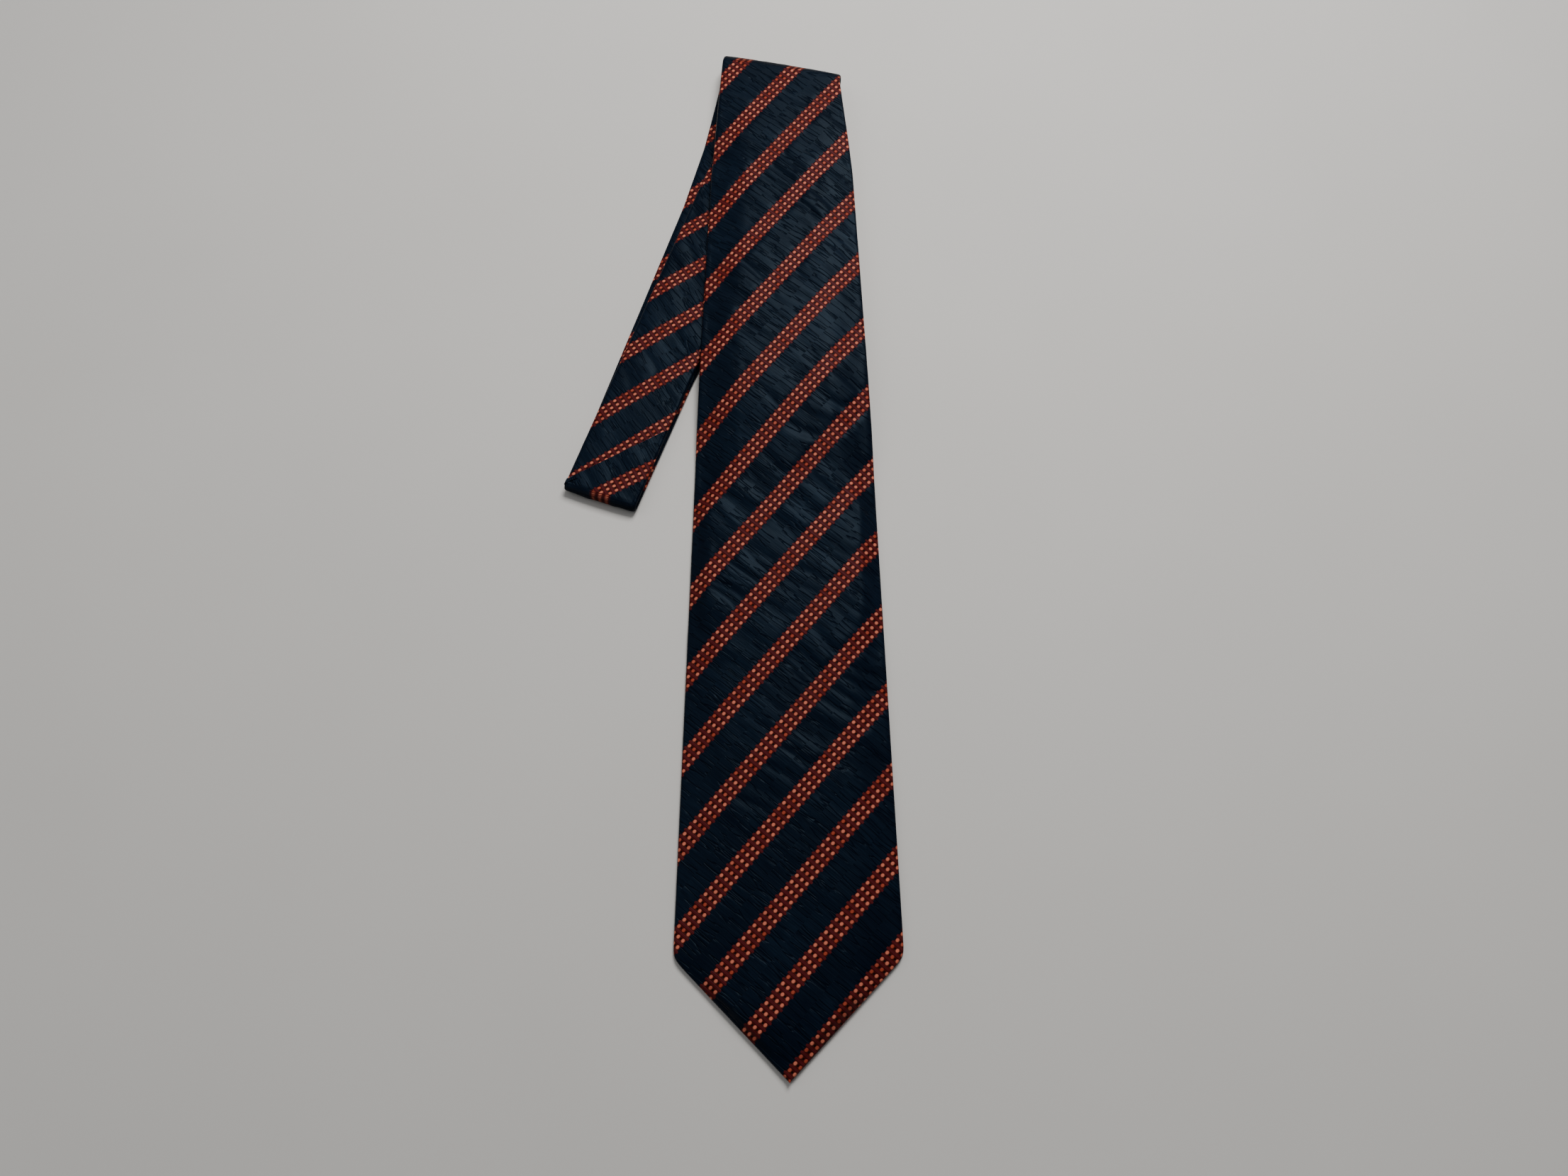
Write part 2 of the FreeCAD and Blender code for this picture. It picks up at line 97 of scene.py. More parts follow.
Mesh = bmesh.types.BMesh
Piece = bpy.types.Object
Socket = bpy.types.NodeSocket
Value = Socket | float
Colour = tuple[float, ...]
Pair = tuple[float, float]


class Slot(Enum):
    """Finishes the record names."""

    SILK = "striped_silk"
    WOOL = "wool_interlining"
    TIPPING = "tipping_lining"
    THREAD = "sewing_thread"
    SATIN = "label_satin"


class Body(Enum):
    """Halves of the tie, one each side of the top crease."""

    BLADE = "blade_half"
    FOLDED = "folded_half"


class Held(Enum):
    """How a cloth is held."""

    FOLDED = "folded"
    LAID = "laid"


def clamp(value: float, low: float = 0.0, high: float = 1.0) -> float:
    """Value held between two limits."""
    return max(low, min(high, value))


def ease(value: float, low: float, high: float) -> float:
    """Smooth 0 to 1 as the value goes from low to high."""
    t = clamp((value - low) / (high - low))
    return t * t * (3.0 - 2.0 * t)


def along_points(value: float, points: Sequence[Pair]) -> float:
    """Smooth curve through a few (distance, size) pairs.

    Args:
        value: Distance to read the curve at.
        points: Pairs in rising order of distance.

    Returns:
        The size there, level before the first pair and after the last.
    """
    if value <= points[0][0]:
        return points[0][1]
    for (low, before), (high, after) in zip(points, points[1:]):
        if value <= high:
            return before + (after - before) * ease(value, low, high)
    return points[-1][1]


def straight_points(value: float, points: Sequence[Pair]) -> float:
    """Same as along_points, with straight runs between the pairs."""
    if value <= points[0][0]:
        return points[0][1]
    for (low, before), (high, after) in zip(points, points[1:]):
        if value <= high:
            return before + (after - before) * (value - low) / (high - low)
    return points[-1][1]


@dataclass(frozen=True)
class Plan:
    """Flat frame hung on the middle of the top crease, its strip running away from it.

    Attributes:
        x: Middle of the crease.
        y: Middle of the crease.
        turn: Degrees clockwise that the strip is turned.
        tilt: Degrees the crease line stands above the strip's across direction.
    """

    x: float
    y: float
    turn: float
    tilt: float

    def at(self, across: float, along: float) -> Pair:
        """Place in the row frame of a point on the strip."""
        c, s = math.cos(math.radians(self.turn)), math.sin(math.radians(self.turn))
        return self.x + across * c - along * s, self.y - across * s - along * c

    def line(self, across: float) -> float:
        """Distance along the strip at which the crease crosses it."""
        return -across * math.tan(math.radians(self.tilt))


@dataclass(frozen=True)
class Stripes:
    """Straight stripes of one strip.

    Attributes:
        angle: Degrees above the row frame's X.
        centre: Distance of one band's middle line from the origin, square to it.
        pitch: From band to band, square to them.
        sense: -1.0 where the cloth is seen turned over, so that both counts run backwards.
    """

    angle: float
    centre: float
    pitch: float
    sense: float = 1.0

    def at(self, x: float, y: float) -> Pair:
        """Bands counted across, and pitches counted along, at a place."""
        c, s = math.cos(math.radians(self.angle)), math.sin(math.radians(self.angle))
        bands = (-s * x + c * y - self.centre) / self.pitch
        return self.sense * bands, self.sense * (c * x + s * y) / STRIPE_PITCH

    def counted_on(self, count: float, x: float, y: float) -> "Stripes":
        """The same stripes, numbered on from a count at a place.

        Args:
            count: Bands counted on the cloth that comes before, at the place.
            x: Place of the join.
            y: Place of the join.

        Returns:
            Stripes whose bands keep their places and whose count agrees there to the nearest band.
        """
        bands = round(count - self.at(x, y)[0])
        return replace(self, centre=self.centre - self.sense * bands * self.pitch)


@dataclass(frozen=True)
class BladeStripes:
    """Stripes of the blade, which open out and steepen a little away from the point.

    Attributes:
        first: Y of band 0 on the blade's middle line.
        step: From one band to the next along that line, at band 0.
        growth: How much half of that step grows with each band.
        slope: Slope of band 0.
        steepen: How much steeper each further band is.
        middle: X of the blade's middle line.
        typical: Band whose slope stands for all, in the count along.
    """

    first: float = -245.74
    step: float = 33.1
    growth: float = 0.23
    slope: float = 1.095
    steepen: float = 0.0145
    middle: float = 26.47
    typical: float = 6.5

    def at(self, x: float, y: float) -> Pair:
        """Bands counted across, and pitches counted along, at a place."""
        across = x - self.middle
        b = self.step + self.steepen * across
        c = self.first + self.slope * across - y
        count = (-b + math.sqrt(max(b * b - 4 * self.growth * c, 0.0))) / (2 * self.growth)
        angle = math.atan(self.slope + self.steepen * self.typical)
        return count, (across * math.cos(angle) + y * math.sin(angle)) / STRIPE_PITCH


Field = Stripes | BladeStripes
Place = Callable[[float, float], Vector]
Mark = Callable[[float], Pair]


@dataclass(frozen=True)
class Row:
    """One row of cloth across a ply.

    Attributes:
        half: Half of the ply's width.
        gap: How far the flaps' inner edges are from the middle, behind the ply.
        place: Point for an across distance and a lift towards the face.
        mark: Stripe coordinates for a distance across the opened cloth.
        pucker: How strongly the silk puckers, 0 to 1.
        step: Cloth from this row to the next.
    """

    half: float
    gap: float
    place: Place
    mark: Mark
    pucker: float
    step: float


@dataclass(frozen=True)
class Tip:
    """Run that ends in a point, with the ply open behind it.

    Attributes:
        end: Distance of the point from the crease.
        sides: Half of the run's width by distance, had it no point.
        blunt: How far its corners are rounded.
        depth: From the point up to the opening's top.
        hem: Silk turned over along the edges.
        slant_hem: Share by which the hem measures more across the slanted edges.
        spread: How fast the opening widens from its top.
    """

    end: float
    sides: tuple[Pair, ...]
    blunt: float
    depth: float
    hem: float
    slant_hem: float = 0.41
    spread: float = 0.82

    def half_width(self, along: float) -> float:
        """Half of the run's width."""
        sides, to_end = straight_points(along, self.sides), max(self.end - along, 0.0)
        return max(
            THINNEST, -self.blunt * math.log(math.exp(-sides / self.blunt) + math.exp(-to_end / self.blunt))
        )

    def opening(self, along: float, half: float) -> float:
        """How far the flaps' inner edges are from the middle, for half of the width there."""
        top = self.end - self.depth
        if along <= top:
            return CLOSED
        slanted = ease(along, self.end - 60.0, self.end - 40.0)
        turned = max(half - self.hem * (1.0 + self.slant_hem * slanted), THINNEST)
        return max(THINNEST, min(turned, CLOSED + (along - top) * self.spread))


def pucker_height(band: float, along: float) -> float:
    """Height of the silk's puckers, which run across from one stripe to the next.

    Args:
        band: Bands counted across.
        along: Pitches counted along.

    Returns:
        A height of about -1 to 1.
    """
    off = abs(band - round(band)) * STRIPE_PITCH
    free = ease(off, BAND_HALF - 1.0, BAND_HALF + 1.5)
    q = along * STRIPE_PITCH
    cell = math.floor(band)
    drift = 3.2 * noise.noise(Vector((q * 0.045, band * 1.1, 4.0)))
    broad = noise.noise(Vector(((q + drift) * 0.11, band * 0.22, 11.0 + 3.7 * cell)))
    narrow = noise.noise(Vector(((q + 1.4 * drift) * 0.24, band * 0.26, 23.0 + 5.3 * cell)))
    patch = ease(noise.noise(Vector((q * 0.03, band * 0.5, 37.0))), -0.40, 0.20)
    facets = 2.5 * min(abs(broad), 0.45) + 0.75 * min(abs(narrow), 0.22) - 0.55
    return free * (0.45 + 0.55 * patch) * facets + (1.0 - free) * 0.05


@dataclass
class Ply:
    """A stretch of the flat silk tube and what lies in it.

    Attributes:
        thick: Whole thickness of the ply.
        roll: Radius of its rolled edges.
        wall: Thickness of the silk.
        swell: Height of the puckers.
        lining: Thickness of the interlining.
        lining_inset: How far the interlining stays inside the ply's edges.
        face_count: Cloth cells across the face.
        flap_count: Cloth cells across each flap.
        roll_count: Cloth cells round each edge.
    """

    thick: float = 2.8
    roll: float = 0.95
    wall: float = 0.32
    swell: float = 0.95
    lining: float = 0.6
    lining_inset: float = 2.4
    face_count: int = 66
    flap_count: int = 12
    roll_count: int = 4

    def crown(self, across: float, half: float) -> float:
        """Height of the face above the ply's middle."""
        roll = min(self.roll, 0.6 * half)
        share = clamp(abs(across) / max(half, 0.1))
        return roll + (self.thick / 2 - roll) * (1.0 - share**3)

    def section(self, half: float, gap: float) -> list[tuple[float, float, float]]:
        """Points round the open tube, from one flap's inner edge to the other's.

        Args:
            half: Half of the ply's width.
            gap: Distance of each flap's inner edge from the middle.

        Returns:
            Distance across the opened cloth, place across, and lift, for each point.
        """
        roll = min(self.roll, 0.6 * half)
        level = half - roll
        side = []
        for i in range(1, self.roll_count + 1):
            turn = math.pi * i / self.roll_count
            side.append((level + roll * turn, level + roll * math.sin(turn), roll * math.cos(turn)))
        inner = min(gap, level)
        for i in range(1, self.flap_count + 1):
            across = level + (inner - level) * i / self.flap_count
            lift = -self.crown(across, half)
            side.append((level + roll * math.pi + level - across, across, lift))
        middle = []
        for i in range(self.face_count + 1):
            across = level * (2.0 * i / self.face_count - 1.0)
            middle.append((across, across, self.crown(across, half)))
        return [(-a, -s, z) for a, s, z in reversed(side)] + middle + side

    def puckered(self, lift: float, across: float, row: Row, mark: Pair) -> float:
        """Lift of a point once the silk has puckered, which never sinks it to the lining.

        Args:
            lift: Lift of the smooth section.
            across: Place across.
            row: Row of the point.
            mark: Stripe coordinates of the point.

        Returns:
            The new lift.
        """
        swell = row.pucker * self.swell * pucker_height(*mark) * (1.0 if lift >= 0 else 0.5)
        if abs(across) > row.half - self.lining_inset + 0.6:
            return lift + math.copysign(max(swell, 0.0), lift) * 0.5
        return math.copysign(max(abs(lift) + swell, self.lining / 2 + self.wall + 0.14), lift)

    def tube(self, name: str, rows: Sequence[Row], slot: Slot = Slot.SILK) -> Piece:
        """Silk of a stretch, as one grid of cloth bent round the section.

        Args:
            name: Piece name.
            rows: Rows from one end to the other.
            slot: Finish.

        Returns:
            The piece, in metres.
        """
        count = self.face_count + 2 * (self.flap_count + self.roll_count)
        sections = [self.section(row.half, row.gap) for row in rows]

        def at(u: float, v: float) -> tuple[Vector, Pair]:
            """Point and stripe coordinates of a corner."""
            j = nth(v, len(rows) - 1)
            row, (cloth, across, lift) = rows[j], sections[j][nth(u, count)]
            mark = row.mark(cloth)
            return row.place(across, self.puckered(lift, across, row, mark)), mark

        mesh = cloth_grid(count, len(rows) - 1, at)
        return finish(name, mesh, slot, wall=self.wall, toward=rows[len(rows) // 2].place)

    def core(
        self, name: str, rows: Sequence[Row], slot: Slot, inset: float, lift: float, wall: float
    ) -> Piece:
        """A flat cloth inside the ply, such as its interlining or tipping.

        Args:
            name: Piece name.
            rows: Rows from one end to the other.
            slot: Finish.
            inset: How far its edges stay inside the ply's.
            lift: Height of its middle above the ply's.
            wall: Its thickness.

        Returns:
            The piece, in metres.
        """

        def at(u: float, v: float) -> tuple[Vector, Pair]:
            """Point and stripe coordinates of a corner."""
            row = rows[nth(v, len(rows) - 1)]
            across = u * max(row.half - inset, CORE_THINNEST)
            return row.place(across, lift), row.mark(across)

        mesh = cloth_grid(self.face_count // 2, len(rows) - 1, at)
        return finish(name, mesh, slot, wall=wall, toward=rows[len(rows) // 2].place, centred=True)


def nth(share: float, count: int) -> int:
    """Number of a grid line, from its place between -1 and 1."""
    return round((share + 1) / 2 * count)


def cloth_grid(wide: int, long: int, at: Callable[[float, float], tuple[Vector, Pair]]) -> Mesh:
    """Grid of cloth, put in its place and painted with its stripe coordinates.

    Args:
        wide: Cells across.
        long: Cells along.
        at: Point and stripe coordinates for a place on the grid, -1 to 1 both ways.

    Returns:
        The open cloth, in millimetres.
    """
    mesh = bmesh.new()
    bmesh.ops.create_grid(mesh, x_segments=wide, y_segments=long, size=1.0)
    marks: dict[int, Pair] = {}
    for vert in mesh.verts:
        vert.co, marks[vert.index] = at(vert.co.x, vert.co.y)
    paint(mesh, marks)
    return mesh


def add_to_scene(name: str, data: bpy.types.ID) -> Piece:
    """New object in the scene for some data."""
    made = bpy.data.objects.new(name, data)
    bpy.context.scene.collection.objects.link(made)
    return made


def add_stitch(mesh: Mesh, start: Vector, end: Vector, radius: float) -> None:
    """Add one short straight stitch to a mesh.

    Args:
        mesh: Mesh of the stitches, in millimetres.
        start: One end.
        end: The other end.
        radius: Radius of the thread.
    """
    way = end - start
    turn = way.to_track_quat("Z", "Y").to_matrix().to_4x4()
    bmesh.ops.create_cone(
        mesh, cap_ends=True, segments=6, radius1=radius, radius2=radius, depth=way.length,
        matrix=Matrix.Translation((start + end) / 2) @ turn,
    )


def between(first: Pair, last: Pair, share: float) -> Pair:
    """Stripe coordinates a share of the way from the first to the last."""
    return first[0] + (last[0] - first[0]) * share, first[1] + (last[1] - first[1]) * share


def paint(mesh: Mesh, marks: dict[int, Pair]) -> None:
    """Write the stripe coordinates of each point into the cloth map.

    A cell that spans a mitre, where the count jumps, takes one corner's coordinates throughout.

    Args:
        mesh: The cloth.
        marks: Stripe coordinates by point.
    """
    layer = mesh.loops.layers.uv.new(UV_NAME)
    mesh.verts.index_update()
    for edge in mesh.edges:
        edge.smooth = not edge.is_boundary
    for face in mesh.faces:
        face.smooth = True
        corners = [marks[loop.vert.index] for loop in face.loops]
        bands = [corner[0] for corner in corners]
        jump = max(bands) - min(bands) > MITRE_JUMP
        for loop, corner in zip(face.loops, corners):
            loop[layer].uv = corners[0] if jump else corner


def finish(
    name: str,
    mesh: Mesh,
    slot: Slot,
    wall: float = 0.0,
    toward: Place | None = None,
    centred: bool = False,
) -> Piece:
    """Turn a built mesh into a piece with its finish, in metres.

    Args:
        name: Piece name.
        mesh: Mesh in millimetres, freed here.
        slot: Finish.
        wall: Thickness given to an open cloth, 0 for a mesh that is closed already.
        toward: Row whose face side the cloth's front should point to.
        centred: Thickness goes to both sides and not only inwards.

    Returns:
        The piece.
    """
    if toward is not None:
        out = toward(0.0, 1.0) - toward(0.0, 0.0)
        near = toward(0.0, 1.4)
        face = min(mesh.faces, key=lambda f: (f.calc_center_median() - near).length)
        face.normal_update()
        if face.normal.dot(out) < 0:
            bmesh.ops.reverse_faces(mesh, faces=mesh.faces[:])
    bmesh.ops.scale(mesh, vec=(MM, MM, MM), verts=mesh.verts[:])
    data = bpy.data.meshes.new(name)
    mesh.to_mesh(data)
    mesh.free()
    piece = add_to_scene(name, data)
    if wall:
        solid = piece.modifiers.new("wall", "SOLIDIFY")
        solid.thickness = wall * MM
        solid.offset = 0.0 if centred else -1.0
    data.materials.append(FINISHES[slot])
    return piece


class Graph:
    """Node tree of one finish."""

    def __init__(self, name: str) -> None:
        """Start a finish with a shader and an output."""
        self.material = bpy.data.materials.new(name)
        self.material.use_nodes = True
        self.tree = self.material.node_tree
        self.tree.nodes.clear()
        self.shader = self.tree.nodes.new("ShaderNodeBsdfPrincipled")
        output = self.tree.nodes.new("ShaderNodeOutputMaterial")
        self.link(self.shader.outputs[0], output.inputs["Surface"])

    def link(self, start: Socket, end: Socket) -> None:
        """Join two sockets."""
        self.tree.links.new(start, end)

    def feed(self, value: Value, socket: Socket) -> None:
        """Give a socket another socket or a number."""
        if isinstance(value, (int, float)):
            socket.default_value = value
        else:
            self.link(value, socket)

    def calc(self, kind: str, a: Value, b: Value = 0.0) -> Socket:
        """Result of one sum."""
        node = self.tree.nodes.new("ShaderNodeMath")
        node.operation = kind
        for value, socket in zip((a, b), node.inputs):
            self.feed(value, socket)
        return node.outputs[0]

    def add(self, a: Value, b: Value) -> Socket:
        """Both together."""
        return self.calc("ADD", a, b)

    def less(self, a: Value, b: Value) -> Socket:
        """The first less the second."""
        return self.calc("SUBTRACT", a, b)

    def times(self, a: Value, b: Value) -> Socket:
        """The first times the second."""
        return self.calc("MULTIPLY", a, b)

    def off_middle(self, count: Socket, size: float) -> Socket:
        """Distance from the middle of the repeat, of a given size, that a count has reached."""
        return self.times(self.less(self.calc("FRACT", count), 0.5), size)

    def fade(self, value: Socket, low: Value, high: Value, start: float = 0.0, end: float = 1.0) -> Socket:
        """Smooth change from start to end as the value goes from low to high."""
        node = self.tree.nodes.new("ShaderNodeMapRange")
        node.interpolation_type = "SMOOTHSTEP"
        for number, key in ((low, 1), (high, 2), (start, 3), (end, 4)):
            self.feed(number, node.inputs[key])
        self.link(value, node.inputs[0])
        return node.outputs[0]

    def mix(self, share: Value, first: Socket | Colour, second: Socket | Colour) -> Socket:
        """One colour going over into another."""
        node = self.tree.nodes.new("ShaderNodeMix")
        node.data_type = "RGBA"
        self.feed(share, node.inputs[0])
        for value, key in ((first, 6), (second, 7)):
            if isinstance(value, tuple):
                node.inputs[key].default_value = value
            else:
                self.link(value, node.inputs[key])
        return node.outputs[2]

    def join(self, *parts: Value) -> Socket:
        """Three numbers as one place."""
        node = self.tree.nodes.new("ShaderNodeCombineXYZ")
        for value, socket in zip(parts, node.inputs):
            self.feed(value, socket)
        return node.outputs[0]

    def grain(self, place: Socket, scale: float, detail: float = 2.0) -> Socket:
        """Soft noise at a place."""
        node = self.tree.nodes.new("ShaderNodeTexNoise")
        node.inputs["Scale"].default_value = scale
        node.inputs["Detail"].default_value = detail
        self.link(place, node.inputs["Vector"])
        return node.outputs[0]

    def chance(self, place: Socket) -> Socket:
        """One steady random number for a place."""
        node = self.tree.nodes.new("ShaderNodeTexWhiteNoise")
        node.noise_dimensions = "3D"
        self.link(place, node.inputs["Vector"])
        return node.outputs[0]

    def relief(self, height: Socket, depth: float, strength: float) -> None:
        """Raise the surface by a height."""
        node = self.tree.nodes.new("ShaderNodeBump")
        node.inputs["Distance"].default_value = depth
        node.inputs["Strength"].default_value = strength
        self.link(height, node.inputs["Height"])
        self.link(node.outputs[0], self.shader.inputs["Normal"])

    def cloth(self) -> tuple[Socket, Socket]:
        """Bands across and pitches along, from the piece's own map."""
        node = self.tree.nodes.new("ShaderNodeUVMap")
        node.uv_map = UV_NAME
        split = self.tree.nodes.new("ShaderNodeSeparateXYZ")
        self.link(node.outputs[0], split.inputs[0])
        return split.outputs[0], split.outputs[1]

    def space(self) -> Socket:
        """Place in the object."""
        return self.tree.nodes.new("ShaderNodeTexCoord").outputs["Object"]


@dataclass(frozen=True)
class StripedSilk:
    """Navy silk with beaded orange-red stripes.

    Attributes:
        navy: Cloth between the stripes.
        slub: Its lighter threads.
        rib: Threads along the stripe, between two rows of beads.
        ground: Cloth under the beads.
        bead: Darkest beads.
        bright: Lightest beads.
        gap: Dark slits from bead to bead.
        row: From one row of beads to the next.
        spacing: From bead to bead in a row.
    """

    navy: Colour = (0.0010, 0.0024, 0.0064, 1.0)
    slub: Colour = (0.0042, 0.0098, 0.0200, 1.0)
    rib: Colour = (0.070, 0.0075, 0.0085, 1.0)
    ground: Colour = (0.052, 0.0042, 0.0030, 1.0)
    bead: Colour = (0.30, 0.045, 0.022, 1.0)
    bright: Colour = (0.58, 0.155, 0.092, 1.0)
    gap: Colour = (0.007, 0.0018, 0.0014, 1.0)
    row: float = 3.15
    spacing: float = 2.5

    def make(self) -> bpy.types.Material:
        """Build the finish."""
        g = Graph("striped_silk")
        band, along = g.cloth()
        w = g.off_middle(g.add(band, 0.5), STRIPE_PITCH)
        q = g.times(along, STRIPE_PITCH)
        rows = g.calc("DIVIDE", q, self.row)
        y = g.off_middle(rows, self.row)
        cols = g.add(g.calc("DIVIDE", w, self.spacing), 0.5)
        x = g.off_middle(cols, self.spacing)
        bead = g.fade(self.reach(g, x, y, 0.78, 0.92), 0.55, 1.15, 1.0, 0.0)
        beside = g.less(g.calc("ABSOLUTE", x), self.spacing / 2)
        gap = g.fade(self.reach(g, beside, y, 0.50, 0.62), 0.5, 1.1, 1.0, 0.0)
        rib = g.fade(g.calc("ABSOLUTE", y), 0.92, 1.22)
        luck = g.chance(g.join(g.calc("FLOOR", cols), g.calc("FLOOR", rows), g.calc("ROUND", band)))
        edge = g.add(g.times(rib, 0.55), BAND_HALF - 0.25)
        inside = g.fade(g.less(edge, g.calc("ABSOLUTE", w)), -0.10, 0.14)
        tone = g.mix(g.fade(luck, 0.0, 0.6), self.bead, self.bright)
        stripe = g.mix(bead, g.mix(gap, g.mix(rib, self.ground, self.rib), self.gap), tone)
        lines = g.grain(g.join(g.times(w, 0.09), g.times(q, 1.9), band), 1.0, 3.0)
        folds = g.grain(g.join(g.times(w, 0.03), g.times(q, 0.27), g.calc("FLOOR", band)), 1.0, 2.0)
        # Crease lines across the navy: a dip in the relief, and painted shade along them.
        crease_dip_and_shade = g.fade(g.calc("ABSOLUTE", g.less(folds, 0.5)), 0.0, 0.035)
        cloud = g.grain(g.space(), 38.0, 3.0)
        shade = g.times(g.fade(lines, 0.30, 0.80, 0.30, 0.95), g.fade(cloud, 0.25, 0.75, 0.35, 1.0))
        # The navy is painted darker along the crease lines, as painted shade in their valleys.
        navy = g.mix(g.times(shade, g.fade(crease_dip_and_shade, 0.0, 1.0, 0.25, 1.0)), self.navy, self.slub)
        g.link(g.mix(inside, navy, stripe), g.shader.inputs["Base Color"])
        g.link(g.fade(inside, 0.0, 1.0, 0.40, 0.46), g.shader.inputs["Roughness"])
        g.shader.inputs["Specular IOR Level"].default_value = 0.055
        g.shader.inputs["Specular Tint"].default_value = (0.56, 0.80, 1.0, 1.0)
        woven = g.less(g.add(g.times(bead, 0.95), g.times(rib, 0.6)), g.times(gap, 0.4))
        plain = g.add(g.times(lines, 0.3), g.times(crease_dip_and_shade, 0.8))
        height = g.add(g.times(inside, g.add(woven, 0.3)), g.times(g.less(1.0, inside), plain))
        g.relief(height, 0.00040, 0.8)
        return g.material

    @staticmethod
    def reach(g: Graph, x: Socket, y: Socket, wide: float, long: float) -> Socket:
        """Distance from the middle of an oval, 1 on its edge.

        Args:
            g: The finish being built.
            x: Place across.
            y: Place along.
            wide: Half of the oval's width.
            long: Half of its length.

        Returns:
            The distance.
        """
        squares = [
            g.calc("POWER", g.calc("ABSOLUTE", g.calc("DIVIDE", off, half)), 2.0)
            for off, half in ((x, wide), (y, long))
        ]
        return g.calc("SQRT", g.add(*squares))


@dataclass(frozen=True)
class PlainWeave:
    """Plain woven cloth, for interlining, tipping and label.

    Attributes:
        name: Finish name.
        base: Main colour.
        other: Colour of the threads that cross it.
        thread: Threads in a metre.
        rough: Roughness.
        sheen: Sheen.
    """

    name: str
    base: Colour
    other: Colour
    thread: float
    rough: float
    sheen: float

    def make(self) -> bpy.types.Material:
        """Build the finish."""
        g = Graph(self.name)
        split = g.tree.nodes.new("ShaderNodeSeparateXYZ")
        g.link(g.space(), split.inputs[0])
        turn = math.tau * self.thread
        warp, weft = (g.calc("SINE", g.times(split.outputs[axis], turn)) for axis in (0, 1))
        over = g.times(warp, weft)
        fuzz = g.grain(g.space(), 900.0, 3.0)
        share = g.times(g.fade(over, -0.8, 0.8), g.fade(fuzz, 0.2, 0.8, 0.6, 1.0))
        g.link(g.mix(share, self.base, self.other), g.shader.inputs["Base Color"])
        g.shader.inputs["Roughness"].default_value = self.rough
        g.shader.inputs["Sheen Weight"].default_value = self.sheen
        g.relief(g.add(over, fuzz), 0.00012, 0.6)
        return g.material


@dataclass(frozen=True)
class Thread:
    """Twisted sewing thread.

    Attributes:
        colour: Its shaded side.
        light: Its lit side.
    """

    colour: Colour = (0.012, 0.017, 0.032, 1.0)
    light: Colour = (0.05, 0.06, 0.09, 1.0)

    def make(self) -> bpy.types.Material:
        """Build the finish."""
        g = Graph("sewing_thread")
        twist = g.grain(g.space(), 2600.0, 1.0)
        g.link(g.mix(g.fade(twist, 0.3, 0.7), self.colour, self.light), g.shader.inputs["Base Color"])
        g.shader.inputs["Roughness"].default_value = 0.5
        g.relief(twist, 0.00008, 0.6)
        return g.material


def make_finishes() -> dict[Slot, bpy.types.Material]:
    """All the finishes, by slot."""
    weaves = {
        Slot.WOOL: ((0.55, 0.50, 0.42, 1.0), (0.68, 0.64, 0.56, 1.0), 900.0, 0.95, 0.3),
        Slot.TIPPING: ((0.012, 0.016, 0.03, 1.0), (0.022, 0.028, 0.045, 1.0), 2200.0, 0.45, 0.0),
        Slot.SATIN: ((0.62, 0.60, 0.55, 1.0), (0.74, 0.72, 0.68, 1.0), 3000.0, 0.32, 0.2),
    }
    finishes = {slot: PlainWeave(slot.value, *look).make() for slot, look in weaves.items()}
    return {Slot.SILK: StripedSilk().make(), Slot.THREAD: Thread().make(), **finishes}


FINISHES = make_finishes()


